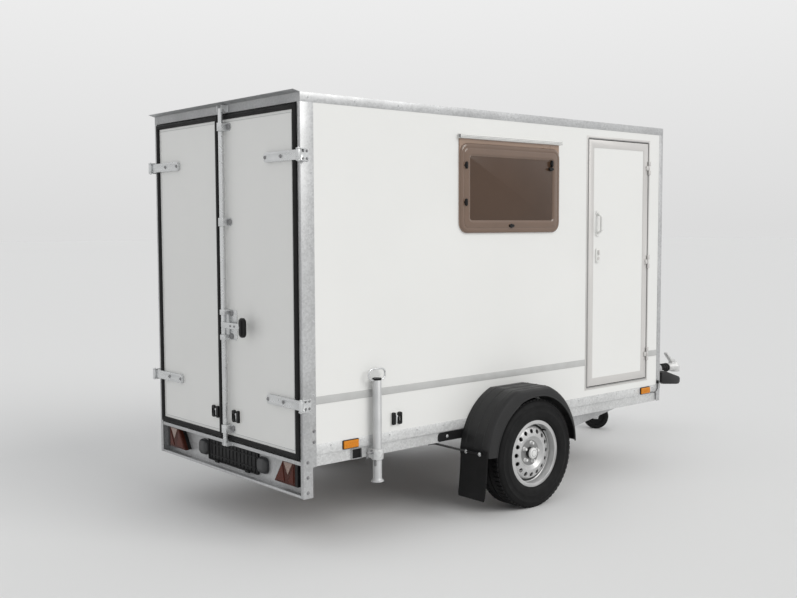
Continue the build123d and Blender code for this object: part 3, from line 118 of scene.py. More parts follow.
def zinc(name, colour, rough, crystals, metal=0.6):
    """Hot-dip zinc: crystals of slightly different tone, with cloudy patches over them."""
    material = finish(name, colour, rough, metal=metal, mottle=0.09, cloud=5.0, grain=0.05)
    tree = material.node_tree
    skin = tree.nodes["Principled BSDF"]
    place = tree.nodes["Texture Coordinate"].outputs["Object"]
    cell = add(tree, "ShaderNodeTexVoronoi", {"Vector": place, "Scale": crystals})
    one = add(tree, "ShaderNodeSeparateColor", {"Color": cell.outputs["Color"]}).outputs["Red"]
    tones = {"Value": one, "To Min": CRYSTAL_TONES[0], "To Max": CRYSTAL_TONES[1]}
    tone = add(tree, "ShaderNodeMapRange", tones).outputs["Result"]
    cloudy = skin.inputs["Base Color"].links[0].from_socket
    shade = add(tree, "ShaderNodeVectorMath", {0: cloudy, "Scale": tone}, operation="SCALE")
    tree.links.new(shade.outputs["Vector"], skin.inputs["Base Color"])
    patch = skin.inputs["Roughness"].links[0].from_socket
    dull = add(tree, "ShaderNodeMath", {0: one, 1: CRYSTAL_GLOSS, 2: patch}, operation="MULTIPLY_ADD")
    tree.links.new(dull.outputs["Value"], skin.inputs["Roughness"])
    return material


def place(name, shape, look, body, slot, *nodes, crease=32):
    """Turns a bmesh into a finished piece that rides on a body and may stand for nodes."""
    mesh = bpy.data.meshes.new(name)
    shape.to_mesh(mesh)
    shape.free()
    mesh.shade_smooth()
    mesh.set_sharp_from_angle(angle=radians(crease))
    mesh.materials.append(look)
    made = bpy.data.objects.new(name, mesh)
    bpy.context.collection.objects.link(made)
    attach(made, body)
    if nodes:
        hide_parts(*nodes)


def eased(shape, width, crease=32):
    """Rounds every edge sharper than the crease."""
    edges = [e for e in shape.edges if e.is_manifold and e.calc_face_angle(0.0) > radians(crease)]
    bmesh.ops.bevel(
        shape, geom=edges, offset=width, segments=2, profile=0.5, affect="EDGES", clamp_overlap=True
    )
    return shape


def copy_of(node):
    """The solid of a node as one joined mesh with its flat faces whole."""
    shape = bmesh.new()
    shape.from_mesh(frame["nodes"][node].data)
    bmesh.ops.remove_doubles(shape, verts=shape.verts, dist=1e-5)
    bmesh.ops.dissolve_limit(shape, angle_limit=radians(0.6), verts=shape.verts, edges=shape.edges)
    return shape


def soften(node, look, width=0.001, crease=32):
    """Stands for a node with its edges eased, as folded or rolled steel has them."""
    shape = eased(copy_of(node), width, crease)
    place(node + "_piece", shape, look, BODY_OF[node], SLOT_OF[node], node, crease=crease)


def points_tree(name, sockets, shape):
    """Geometry nodes that set one shape on each point of a mesh, turned to the point's facing."""
    tree = bpy.data.node_groups.new(name, "GeometryNodeTree")
    tree.interface.new_socket("Points", in_out="INPUT", socket_type="NodeSocketGeometry")
    for socket, kind in sockets.items():
        tree.interface.new_socket(socket, in_out="INPUT", socket_type="NodeSocket" + kind)
    tree.interface.new_socket("Finish", in_out="INPUT", socket_type="NodeSocketMaterial")
    tree.interface.new_socket("Pieces", in_out="OUTPUT", socket_type="NodeSocketGeometry")
    given = add(tree, "NodeGroupInput").outputs
    facing = add(tree, "GeometryNodeInputNamedAttribute", {"Name": "facing"}, data_type="FLOAT_VECTOR")
    turn = add(tree, "FunctionNodeAlignRotationToVector", {"Vector": facing.outputs["Attribute"]}, axis="Z")
    put = {"Points": given["Points"], "Instance": shape(tree, given), "Rotation": turn.outputs["Rotation"]}
    pieces = add(tree, "GeometryNodeInstanceOnPoints", put)
    real = add(tree, "GeometryNodeRealizeInstances", {"Geometry": pieces.outputs["Instances"]})
    dressed = {"Geometry": real.outputs["Geometry"], "Material": given["Finish"]}
    done = add(tree, "GeometryNodeSetMaterial", dressed)
    add(tree, "NodeGroupOutput", {"Pieces": done.outputs["Geometry"]})
    return tree


WASHER_SIDES, WASHER_SHARE, HEAD_TAPER, HEAD_CREASE = 16, 0.35, 0.78, 35


def head_on_washer(tree, given):
    """A tapered head that stands on a tapered washer."""
    parts = []
    for radius, height, sides in (
        ("Washer radius", "Washer height", WASHER_SIDES),
        ("Head radius", "Head height", given["Head sides"]),
    ):
        top = add(tree, "ShaderNodeMath", {0: given[radius], 1: HEAD_TAPER}, operation="MULTIPLY")
        size = {"Vertices": sides, "Radius Bottom": given[radius], "Depth": given[height]}
        size["Radius Top"] = top.outputs["Value"]
        parts.append(add(tree, "GeometryNodeMeshCone", size).outputs["Mesh"])
    lift = add(tree, "ShaderNodeCombineXYZ", {"Z": given["Washer height"]})
    head = add(tree, "GeometryNodeTransform", {"Geometry": parts[1], "Translation": lift.outputs["Vector"]})
    whole = add(tree, "GeometryNodeJoinGeometry")
    tree.links.new(parts[0], whole.inputs["Geometry"])
    tree.links.new(head.outputs["Geometry"], whole.inputs["Geometry"])
    return whole.outputs["Geometry"]


HEAD_SOCKETS = dict.fromkeys(("Head radius", "Head height", "Washer radius", "Washer height"), "Float")
HEAD_SOCKETS["Head sides"] = "Int"
FIXINGS = points_tree("fixing heads", HEAD_SOCKETS, head_on_washer)


def grown(name, points, facings, tree, values, body):
    """Runs a tree on points with facings and keeps its result as a plain piece."""
    mesh = bpy.data.meshes.new(name)
    mesh.from_pydata([tuple(p) for p in points], [], [])
    facing = mesh.attributes.new("facing", "FLOAT_VECTOR", "POINT")
    for item, way in zip(facing.data, facings):
        item.vector = way
    seed = bpy.data.objects.new(name + "_points", mesh)
    bpy.context.collection.objects.link(seed)
    run = seed.modifiers.new("heads", "NODES")
    run.node_group = tree
    for socket in tree.interface.items_tree:
        if socket.in_out == "INPUT" and socket.name in values:
            run[socket.identifier] = values[socket.name]
    view = bpy.context.evaluated_depsgraph_get()
    result = bpy.data.meshes.new_from_object(seed.evaluated_get(view))
    seed.modifiers.remove(run)
    bpy.data.objects.remove(seed)
    result.shade_smooth()
    result.set_sharp_from_angle(angle=radians(HEAD_CREASE))
    made = bpy.data.objects.new(name, result)
    bpy.context.collection.objects.link(made)
    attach(made, body)


def fixings(name, rows, look, radius, height, body, sides=12, washer=1.35):
    """Heads along rows of (start, end, count, facing), or single ones at (spot, facing)."""
    points, facings = [], []
    for row in rows:
        start, end, count, facing = row if len(row) == 4 else (row[0], row[0], 1, row[1])
        for i in range(count):
            share = i / (count - 1) if count > 1 else 0.0
            points.append(Vector(start).lerp(Vector(end), share))
            facings.append(facing)
    sizes = {
        "Head radius": radius,
        "Head height": height,
        "Washer radius": radius * washer,
        "Washer height": height * WASHER_SHARE,
        "Head sides": sides,
        "Finish": look,
    }
    grown(name, points, facings, FIXINGS, sizes, body)


ZINC = zinc("zinc", (0.52, 0.525, 0.53), 0.36, 110.0)
PLATED = finish("plated steel", (0.66, 0.67, 0.675), 0.30, metal=0.72, mottle=0.05, cloud=14.0, grain=0.05)
DULL_STEEL = finish("dull steel", (0.27, 0.27, 0.275), 0.46, metal=0.5, mottle=0.12, cloud=40.0, grain=0.1)
PALE_ZINC = zinc("pale zinc", (0.65, 0.655, 0.655), 0.42, 110.0, metal=0.35)
soften("side_rails", PALE_ZINC)
for node in ("cross_members", "drawbar_beams"):
    soften(node, ZINC)

RIGHT, LEFT = (0, -1, 0), (0, 1, 0)
BACK, AHEAD = (-1, 0, 0), (1, 0, 0)
UP, DOWN = (0, 0, 1), (0, 0, -1)
rails_low, rails_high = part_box("side_rails")
LIP_SCREWS, LIP_DROP, LIP_ENDS = 15, 0.016, (0.09, 0.05)
lip_z = rails_high.z - LIP_DROP
lip_x = (rails_low.x + LIP_ENDS[0], rails_high.x - LIP_ENDS[1])
rows = []
for side, facing in ((rails_low.y, RIGHT), (rails_high.y, LEFT)):
    rows.append(((lip_x[0], side, lip_z), (lip_x[1], side, lip_z), LIP_SCREWS, facing))
fixings("rail_screws", rows, PLATED, 0.0042, 0.003, "chassis")

# Axle: a square torsion tube on two pads, trailing arms with brake back plates, and the brake
# rod that pulls an equaliser and two cables. The axle is zinc dipped and the rod is plated.
for node in ("axle_tube", "axle_arms"):
    soften(node, ZINC, 0.0015)
soften("brake_rod", PLATED, 0.0005)
tube_low, tube_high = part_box("axle_tube")
PAD_BOLT = Vector((0.02, 0.025, 0.026))        # in from the tube's box, and down from its top
rows = []
for y in (tube_low.y + PAD_BOLT.y, tube_high.y - PAD_BOLT.y):
    for x in (tube_low.x + PAD_BOLT.x, tube_high.x - PAD_BOLT.x):
        rows.append(((x, y, tube_high.z - PAD_BOLT.z), DOWN))
fixings("axle_bolts", rows, PLATED, 0.009, 0.008, "chassis", sides=6, washer=1.5)

# Floor: birch plywood with a brown resin film, pressed with a wire-mesh grip pattern on top.
# It lies on the cross members between the walls.
def plain(node, look):
    """Gives a node's own solid a finish."""
    solid = frame["nodes"][node]
    solid.data.materials.clear()
    solid.data.materials.append(look)


FLOOR_FILM = finish("floor film", (0.115, 0.070, 0.045), 0.42, mottle=0.16, cloud=5.0, grain=0.15)
tree = FLOOR_FILM.node_tree
skin = tree.nodes["Principled BSDF"]
spot = tree.nodes["Texture Coordinate"].outputs["Object"]
mesh_print = add(tree, "ShaderNodeTexVoronoi", {"Vector": spot, "Scale": 170.0}, feature="DISTANCE_TO_EDGE")
press = {"Height": mesh_print.outputs["Distance"], "Strength": 0.5, "Distance": 0.004}
press["Normal"] = tree.nodes["Bump"].outputs["Normal"]
tree.links.new(add(tree, "ShaderNodeBump", press).outputs["Normal"], skin.inputs["Normal"])
plain("floor_panel", FLOOR_FILM)

# Walls and roof: plywood panels with a smooth white plastic coat. They slide into the corner
# profiles, so no fixing shows on their faces.
PANEL_WHITE = finish(
    "panel coat", (0.80, 0.80, 0.785), 0.36, mottle=0.012, cloud=1.6, grain=0.035, grit=55.0, Coat_Weight=0.12
)
for node in ("wall_left", "wall_right", "wall_front", "roof_panel"):
    plain(node, PANEL_WHITE)

# Corner posts, roof edges and rear header: zinc sheet folded round the edges of the panels.
# Blind rivets hold the roof edges, and bolts hold the feet of the rear posts to the chassis.
SHEET, EDGE_TOP_FLANGE = 0.002, 0.042
# The rear header and its end plates take a darker copy of the zinc: painted shade for the rear face, which
# the key light leaves in shade.
SHADED_HEADER_ZINC = zinc("header zinc painted shade", (0.41, 0.415, 0.42), 0.40, 110.0)
for node, look in (("corner_posts", ZINC), ("roof_edges", ZINC), ("rear_header", SHADED_HEADER_ZINC)):
    soften(node, look, 0.0008)


def brick(shape, low, high):
    """Adds a box between two corners."""
    made = bmesh.ops.create_cube(shape, size=1.0)["verts"]
    middle, size = (Vector(low) + Vector(high)) / 2, Vector(high) - Vector(low)
    bmesh.ops.scale(shape, vec=size, verts=made)
    bmesh.ops.translate(shape, vec=middle, verts=made)


edge_low, edge_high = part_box("roof_edges")
header_ends = bmesh.new()
for side in (1, -1):
    y = sorted((side * (edge_high.y - EDGE_TOP_FLANGE), side * (edge_high.y - SHEET)))
    x, z = (edge_low.x, edge_low.x + SHEET), (edge_low.z + 0.0005, edge_high.z - SHEET)
    brick(header_ends, (x[0], y[0], z[0]), (x[1], y[1], z[1]))
place("header_ends", header_ends, SHADED_HEADER_ZINC, "chassis", "galvanised")
post_low, post_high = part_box("corner_posts")
EDGE_RIVETS, EDGE_DROP, EDGE_END = 11, 0.023, 0.05
FRONT_RIVETS, FRONT_REACH = 6, 0.66
POST_RIVETS = (0.80, 1.17, 1.54, 1.91)
POST_SEAM, POST_FOOT = 0.066, 0.026             # bolt lines, in from the rear edge
edge_z = edge_high.z - EDGE_DROP
edge_x = (edge_low.x + EDGE_END, edge_high.x - EDGE_END)
rows = []
for side, facing in ((edge_low.y, RIGHT), (edge_high.y, LEFT)):
    rows.append(((edge_x[0], side, edge_z), (edge_x[1], side, edge_z), EDGE_RIVETS, facing))
    for z in POST_RIVETS:
        rows.append(((post_low.x + POST_SEAM, side, z), facing))
front = [(edge_high.x, y, edge_z) for y in (-FRONT_REACH, FRONT_REACH)]
rows.append((*front, FRONT_RIVETS, AHEAD))
fixings("edge_rivets", rows, PLATED, 0.004, 0.0028, "chassis")
rows = []
for side, facing in ((post_low.y, RIGHT), (post_high.y, LEFT)):
    foot = (post_low.x + POST_FOOT, side, post_low.z + 0.03)
    rows.append((foot, (foot[0], side, rails_low.z + 0.03), 3, facing))
    seam = (post_low.x + POST_SEAM, side, rails_high.z + 0.014)
    rows.append((seam, (seam[0], side, seam[2] + 0.055), 2, facing))
fixings("post_bolts", rows, DULL_STEEL, 0.007, 0.005, "chassis", sides=6, washer=1.4)

# Rubbing strips: grey ribbed plastic tape in one length along each side. It is stuck to the panels
# a little above the rails.
STRIP_GREY = finish("strip grey", (0.51, 0.512, 0.505), 0.5, mottle=0.05, cloud=14.0, grain=0.2, grit=260.0)
soften("side_strips", STRIP_GREY, 0.0006)

# Window: a top-hung pane of brown acrylic, blown so that a raised rib runs round its field.
# It hangs from a white head rail, closes on the wall, and is held by five black latches.
LEAST_ROUND = 0.0004
X, Y, Z = range(3)


def about(middle, half):
    return middle - half, middle + half


def inset(u, v, by):
    return (u[0] + by, u[1] - by), (v[0] + by, v[1] - by)


def rounded(u, v, corner, steps=6, by=0.0):
    """Points round a rectangle set in by a margin. Its corners have one radius or four."""
    (u0, u1), (v0, v1) = inset(u, v, by)
    radii = corner if isinstance(corner, tuple) else (corner,) * 4
    corners = ((u0, v0, 1, 1, 180), (u1, v0, -1, 1, 270), (u1, v1, -1, -1, 0), (u0, v1, 1, -1, 90))
    points = []
    for (cu, cv, su, sv, start), full in zip(corners, radii):
        radius = max(full - by, LEAST_ROUND)
        for i in range(steps + 1):
            turn = radians(start + 90.0 * i / steps)
            points.append((cu + su * radius + radius * cos(turn), cv + sv * radius + radius * sin(turn)))
    return points


def slab(axis, u, v, corner, base, way, profile, steps=6):
    """Loops of a plate square to an axis, from a profile of (inset, rise over the base) pairs."""
    loops = []
    for by, rise in profile:
        loop = []
        for a, b in rounded(u, v, corner, steps, by):
            spot = [a, b]
            spot.insert(axis, base + way * rise)
            loop.append(Vector(spot))
        loops.append(loop)
    return loops


def loft(shape, loops, ends=(True, True)):
    """Joins loops of equally many points into a skin, and closes its ends."""
    rings = [[shape.verts.new(p) for p in loop] for loop in loops]
    count = len(rings[0])
    for a, b in zip(rings, rings[1:]):
        for i in range(count):
            j = (i + 1) % count
            shape.faces.new((a[i], a[j], b[j], b[i]))
    for ring, closed in zip((rings[0], rings[-1]), ends):
        if closed:
            shape.faces.new(ring)
    bmesh.ops.recalc_face_normals(shape, faces=shape.faces)
    return shape


ACRYLIC = {"Coat_Weight": 0.35, "Coat_Roughness": 0.05, "Transmission_Weight": 0.15}
DULLER = {**ACRYLIC, "Coat_Weight": 0.12, "Coat_Roughness": 0.10, "Specular_IOR_Level": 0.35}
# One brown acrylic sheet is drawn in three tones: the flange and the rim are painted lighter as reflection on
# the sloped rim, and the field is painted darker as shade from the closed box behind it.
PANE_EDGE_PAINTED_REFLECTION = finish("acrylic edge painted reflection", (0.37, 0.255, 0.19), 0.24, mottle=0.05, cloud=3.0, grain=0.01, **ACRYLIC)
PANE_RIM_PAINTED_REFLECTION = finish("acrylic rim painted reflection", (0.190, 0.122, 0.086), 0.13, mottle=0.08, cloud=3.0, grain=0.01, **ACRYLIC)
PANE_FIELD_PAINTED_SHADE = finish(
    "acrylic field painted shade", (0.086, 0.048, 0.029), 0.20, mottle=0.10, cloud=2.0, grain=0.01, **DULLER
)
WHITE_PLASTIC = finish("white plastic", (0.78, 0.78, 0.76), 0.34, mottle=0.02, cloud=5.0, grain=0.05)
BLACK_PLASTIC = finish(
    "black plastic", (0.007, 0.007, 0.0075), 0.46, mottle=0.15, cloud=9.0, grain=0.35, grit=900.0,
    Specular_IOR_Level=0.25,
)
pane_low, pane_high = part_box("window_pane")
pane_u, pane_v = (pane_low.x, pane_high.x), (pane_low.z, pane_high.z)
wall_y = pane_high.y
PANE_ROUND, PANE_HANG = 0.060, 0.024
FIELD_IN, FIELD_ROUND = 0.070, 0.016
FLANGE = ((0.0, 0.0), (0.0, 0.007), (0.001, 0.008))       # in from the edge, out from the wall
SWELL = (
    (0.0, 0.007), (0.0, 0.0105), (0.003, 0.0140), (0.008, 0.0165), (0.014, 0.0180),
    (0.022, 0.0186), (0.024, 0.0176), (0.027, 0.0176), (0.029, 0.0192), (0.036, 0.0206),
)
RIB = ((-0.020, 0.0226), (-0.014, 0.0240), (-0.009, 0.0238), (-0.004, 0.0212), (0.002, 0.0186))
FIELD = ((0.0015, 0.0178), (0.003, 0.0184))
hung = slab(Y, pane_u, pane_v, (PANE_ROUND, PANE_ROUND, 0.002, 0.002), wall_y, -1, FLANGE)
place("window_flange", loft(bmesh.new(), hung), PANE_EDGE_PAINTED_REFLECTION, "chassis", "window_tint")
body_v = (pane_v[0], pane_v[1] - PANE_HANG)
field_u, field_v = inset(pane_u, body_v, FIELD_IN)
blown = slab(Y, pane_u, body_v, PANE_ROUND, wall_y, -1, SWELL)
blown += slab(Y, field_u, field_v, FIELD_ROUND, wall_y, -1, RIB)
blown = loft(bmesh.new(), blown, (True, False))
place("window_rim", blown, PANE_RIM_PAINTED_REFLECTION, "chassis", "window_tint", "window_pane")
field = slab(Y, field_u, field_v, FIELD_ROUND, wall_y, -1, FIELD)
place("window_field", loft(bmesh.new(), field), PANE_FIELD_PAINTED_SHADE, "chassis", "window_tint")
soften("window_frame", WHITE_PLASTIC, 0.0015)
head_low, head_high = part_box("window_frame")
# The two grey lines along the head rail are painted shade for its grooves: thin strips standing a little
# proud of the face, not cut in. The caps on the rail's ends share the same mesh and grey.
GROOVE, GROOVE_LEVELS, END_CAP = 0.0011, (0.0085, 0.0155), 0.0012
groove_shades_and_caps = bmesh.new()
for up in GROOVE_LEVELS:
    z, y = about(pane_high.z + up, GROOVE), (head_low.y - 0.0003, head_low.y + 0.001)
    brick(groove_shades_and_caps, (head_low.x + 0.004, y[0], z[0]), (head_high.x - 0.004, y[1], z[1]))
for end in (head_low.x, head_high.x):
    x, y = about(end, END_CAP), (head_low.y + 0.001, head_low.y + 0.020)
    brick(groove_shades_and_caps, (x[0], y[0], pane_high.z + 0.002), (x[1], y[1], head_high.z - 0.003))
GROOVE_SHADE_AND_CAP_GREY = finish("groove shade and cap grey", (0.30, 0.30, 0.30), 0.5, mottle=0.05, cloud=9.0)
place("head_rail_groove_shades_and_caps", groove_shades_and_caps, GROOVE_SHADE_AND_CAP_GREY, "chassis", "white_plastic")
latches = bmesh.new()
LATCHES = (                # along and up from the pane's low corner, and whether the lever lies across
    (0.040, 0.380, False), (0.038, 0.173, False), (0.766, 0.414, False),
    (0.758, 0.381, True), (0.410, 0.040, True),
)
LATCH_SEAT, LATCH_EASE = 0.016, 0.003
LATCH_DISC, LATCH_LEVER = (0.0125, 0.0125), (0.020, 0.008)
for u, v, across in LATCHES:
    x, z = pane_low.x + u, pane_low.z + v
    lever = LATCH_LEVER if across else LATCH_LEVER[::-1]
    for half, top in ((LATCH_DISC, 0.026), (lever, 0.031)):
        profile = ((0.0, LATCH_SEAT), (0.0, top - LATCH_EASE), (LATCH_EASE, top))
        loft(latches, slab(Y, about(x, half[0]), about(z, half[1]), min(half), wall_y, -1, profile, 4))
place("window_latches", latches, BLACK_PLASTIC, "chassis", "black_plastic")

# Side door: an aluminium frame lines the doorway. The leaf is a white panel in an aluminium edge
# profile, with three hinges on its front edge, and a white pull grip with a lock below it.
DOOR_ALLOY = finish(
    "satin alloy", (0.635, 0.62, 0.605), 0.42, metal=0.35, mottle=0.03, cloud=3.0, grain=0.08, grit=700.0
)
soften("side_door_frame", DOOR_ALLOY, 0.0012)
soften("side_door_edge", DOOR_ALLOY, 0.0016)
plain("side_door_leaf", PANEL_WHITE)
RUBBER = finish(
    "rubber", (0.0075, 0.0075, 0.0078), 0.6, mottle=0.12, cloud=8.0, grain=0.25, grit=600.0,
    Specular_IOR_Level=0.25,
)


def joined(shape):
    """Welds the seam of a closed sweep and turns its faces outward."""
    bmesh.ops.remove_doubles(shape, verts=shape.verts, dist=1e-6)
    bmesh.ops.recalc_face_normals(shape, faces=shape.faces)
    return shape


def hoop(shape, loops):
    """Skins loops into a closed ring."""
    return joined(loft(shape, loops + loops[:1], (False, False)))


frame_low, frame_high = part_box("side_door_frame")
FRAME_FACE, LEAF_SET = 0.017, 0.024
doorway = inset((frame_low.x, frame_high.x), (frame_low.z, frame_high.z), FRAME_FACE)
face_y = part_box("side_door_edge")[1].y - LEAF_SET
LIP = ((0.0, -0.001), (0.0, 0.0012), (-0.002, 0.002), (-0.006, 0.002), (-0.007, -0.001))
# The black rubber bulb runs round the doorway, set back behind the leaf's face: a seal whose black is also
# painted shade for the gap.
BULB_AND_GAP_SHADE = ((0.0, -0.005), (0.0035, -0.005), (0.0035, -0.013), (0.0, -0.013))
SEAL_GREY = finish("seal grey", (0.31, 0.307, 0.302), 0.55, mottle=0.10, cloud=9.0, grain=0.2)
for name, profile, look in (("side_door_lip", LIP, SEAL_GREY), ("side_door_bulb_and_gap_shade", BULB_AND_GAP_SHADE, RUBBER)):
    loops = slab(Y, *doorway, 0.001, face_y, -1, profile, 1)
    place(name, hoop(bmesh.new(), loops), look, "chassis", "black_rubber")
grip_low, grip_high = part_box("side_door_handle")
grip_x = (grip_low.x + grip_high.x) / 2
skin_y = grip_high.y
GRIP_TALL, LOCK_TALL = 0.164, 0.096
grip_z = grip_high.z - GRIP_TALL / 2
lock_z = grip_low.z + LOCK_TALL / 2
PAD = ((0.0, 0.0), (0.0, 0.005), (0.003, 0.008))           # in from the edge, out from the leaf
LOCK_PLATE = ((0.0, 0.0), (0.0, 0.007), (0.002, 0.009), (0.004, 0.010))
PAD_APART, BOW_HALF, BOW_WIDE, BOW_LIFT, BOW_STEPS = 0.066, 0.068, 0.0095, 0.030, 16
handle = bmesh.new()
for z in about(grip_z, PAD_APART):
    loft(handle, slab(Y, about(grip_x, 0.017), about(z, 0.016), 0.010, skin_y, -1, PAD))
bow = []
for i in range(BOW_STEPS + 1):
    share = i / BOW_STEPS
    z = grip_z - BOW_HALF + 2 * BOW_HALF * share
    y = skin_y - 0.004 - BOW_LIFT * min(1.0, sin(pi * share) * 1.9)
    deep = 0.0065 + 0.0015 * sin(pi * share)
    bow.append([Vector((a, b, z)) for a, b in rounded(about(grip_x, BOW_WIDE), about(y, deep), 0.005, 3)])
loft(handle, bow)
loft(handle, slab(Y, about(grip_x, 0.019), about(lock_z, LOCK_TALL / 2), 0.015, skin_y, -1, LOCK_PLATE))
place("side_door_grip", handle, WHITE_PLASTIC, "side_door", "white_plastic", "side_door_handle")


def lathe(shape, outline, centre, along, steps):
    """Turns (along, radius) points about an axis through the centre."""
    along = Vector(along).normalized()
    side = along.orthogonal().normalized()
    up = along.cross(side)
    rings = []
    for i in range(steps):
        turn = 2 * pi * i / steps
        arm = cos(turn) * side + sin(turn) * up
        rings.append([shape.verts.new(Vector(centre) + along * d + arm * r) for d, r in outline])
    for a, b in zip(rings, rings[1:] + rings[:1]):
        for i in range(len(outline) - 1):
            shape.faces.new((a[i], a[i + 1], b[i + 1], b[i]))
    return joined(shape)


LOCK_FACE = 0.0098
BARREL = ((0.0, 0.0), (0.0, 0.0105), (0.003, 0.010), (0.0035, 0.006), (0.0022, 0.0055), (0.0022, 0.0))
barrel = lathe(bmesh.new(), BARREL, (grip_x, skin_y - LOCK_FACE, lock_z - 0.018), RIGHT, 24)
x = about(grip_x, 0.006)
brick(barrel, (x[0], skin_y - 0.0185, lock_z + 0.004), (x[1], skin_y - LOCK_FACE, lock_z + 0.034))
place("side_door_lock", eased(barrel, 0.001), DOOR_ALLOY, "side_door", "door_alloy")

# Rear doors: two white panels in a black rubber profile that seals them on the frame, each with a
# thin raised grey line inside the rubber. Zinc-plated hinge straps are bolted through the panels.
INNER_LINE_GREY = finish("inner line grey", (0.55, 0.555, 0.55), 0.45, mottle=0.04, cloud=10.0)


def seal(shape, y, z, profile):
    """Sweeps a closed (inset, x) profile round a rectangle of the rear face, mitred at its corners."""
    loops = []
    for by, x in profile:
        (y0, y1), (z0, z1) = inset(y, z, by)
        loops.append([Vector(p) for p in ((x, y0, z0), (x, y1, z0), (x, y1, z1), (x, y0, z1))])
    return hoop(shape, loops)


RUBBER_THICK, RUBBER_IN = 0.012, 0.008
RUBBER_LIP = (             # in from the door's edge, forward from the panel's face
    (0.0, -0.004), (0.002, -0.009), (0.006, -0.012), (0.0125, -0.012), (0.014, -0.0105), (0.016, -0.0105),
    (0.0175, -0.012), (0.0225, -0.0115), (0.0262, -0.0085), (0.028, -0.003), (0.028, 0.0002), (0.008, 0.0002),
)
INNER_LINE = ((0.040, 0.0002), (0.0405, -0.0008), (0.0435, -0.0008), (0.044, 0.0002))
for side in ("left", "right"):
    door = "rear_door_" + side
    plain(door, PANEL_WHITE)
    gasket_low, gasket_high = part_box(door + "_gasket")
    y, z = (gasket_low.y, gasket_high.y), (gasket_low.z, gasket_high.z)
    face, inner = gasket_low.x + RUBBER_THICK, gasket_high.x
    lip = [(0.0, inner)] + [(by, face + x) for by, x in RUBBER_LIP] + [(RUBBER_IN, inner)]
    lip = seal(bmesh.new(), y, z, lip)
    place(door + "_seal", lip, RUBBER, door, "black_rubber", door + "_gasket", crease=50)
    inner_line = seal(bmesh.new(), y, z, [(by, face + x) for by, x in INNER_LINE])
    place(door + "_inner_line", inner_line, INNER_LINE_GREY, door, "white_plastic")
soften("rear_door_left_straps", PLATED, 0.0012)
soften("rear_door_right_fittings", PLATED, 0.0012)
soften("frame_fittings", PLATED, 0.0010)
strap_low, strap_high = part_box("rear_door_left_straps")
STRAP_TALL, STRAP_THICK = 0.050, 0.005
STRAP_BOLTS = ((0.013, 0.0), (0.150, 0.0015))   # from the strap's tip, and how far sunk
HINGE_BOLTS, HINGE_HALF, EAR = (0.013, 0.036), 0.019, 0.005
strap_levels = (strap_low.z + STRAP_TALL / 2, strap_high.z - STRAP_TALL / 2)
strap_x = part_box("rear_door_left_gasket")[0].x - STRAP_THICK
for side, sign in (("left", 1), ("right", -1)):
    rows = []
    for z in strap_levels:
        for along, sunk in STRAP_BOLTS:
            rows.append(((strap_x + sunk, sign * (strap_low.y + along), z), BACK))
    door = "rear_door_" + side
    fixings("strap_bolts_" + side, rows, DULL_STEEL, 0.0075, 0.005, door, washer=1.4)
HALF = -post_low.y
rows = []
for side, facing in ((1, LEFT), (-1, RIGHT)):
    for z in strap_levels:
        for along in HINGE_BOLTS:
            ends = [(post_low.x + along, side * (HALF + EAR), level) for level in about(z, HINGE_HALF)]
            rows.append((*ends, 2, facing))
fixings("hinge_bolts", rows, DULL_STEEL, 0.0055, 0.004, "chassis", sides=6, washer=1.4)

# Lock bar: a zinc-plated tube turned by a lever, which closes the right door top and bottom. The
# lever ends in a black lock housing with a grip ridge and a key barrel.
soften("lock_bar", PLATED, 0.0012)
knob_low, knob_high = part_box("lock_knob")
knob_y, knob_z = (knob_low.y + knob_high.y) / 2, (knob_low.z + knob_high.z) / 2
bar_low, bar_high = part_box("lock_bar")
lever_x, front = bar_low.x, knob_low.x
RIDGE = ((0.0, 0.009), (0.0, 0.004), (0.002, 0.001), (0.005, 0.0))     # in from the edge, back from the front
KEY = ((0.0, 0.0), (0.0, 0.0065), (0.003, 0.006), (0.0035, 0.005), (0.0025, 0.0045), (0.0025, 0.0))
KEY_IN, KEY_ASIDE = 0.0095, 0.0185
case = [(0.003, lever_x), (0.0, lever_x - 0.003), (0.0, front + 0.013)]
case += [(0.003, front + 0.0095), (0.009, front + 0.008)]
span = (knob_low.y, knob_high.y), (knob_low.z, knob_high.z)
knob = loft(bmesh.new(), slab(X, *span, 0.0235, 0.0, 1, case))
loft(knob, slab(X, about(knob_y, 0.010), about(knob_z, 0.043), 0.0088, front, 1, RIDGE))
place("lock_housing", knob, BLACK_PLASTIC, "rear_door_right", "black_plastic", "lock_knob", crease=40)
barrel = lathe(bmesh.new(), KEY, (front + KEY_IN, knob_y + KEY_ASIDE, knob_z), BACK, 24)
place("lock_barrel", barrel, PLATED, "rear_door_right", "galvanised")
GUIDES = (0.5385, 1.049, 1.175, 1.6687, 2.1787)
BOSS = (
    (0.0, 0.0), (0.0, 0.0165), (0.006, 0.0165), (0.0085, 0.0135), (0.0085, 0.0095),
    (0.0065, 0.0085), (0.0065, 0.0),
)
BAR_RADIUS, BOSS_ASIDE, BOSS_OUT = 0.0135, 0.040, 0.003
door_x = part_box("rear_door_right")[0].x
bosses = bmesh.new()
for z in GUIDES:
    lathe(bosses, BOSS, (door_x - BOSS_OUT, bar_high.y - BAR_RADIUS - BOSS_ASIDE, z), BACK, 28)
place("guide_bosses", bosses, DULL_STEEL, "rear_door_right", "galvanised", crease=35)
LEVER_RIVETS = (0.095, 0.135)
rows = [((lever_x, knob_y + along, knob_z), BACK) for along in LEVER_RIVETS]
fixings("lever_rivets", rows, DULL_STEEL, 0.0055, 0.003, "rear_door_right")

# Door catches: a black bar and a black eye on a thin white plate, with a plated spring hook between
# them. They are screwed to the doors and to the walls, where they hold the opened doors.
CATCH_HALF = 0.036


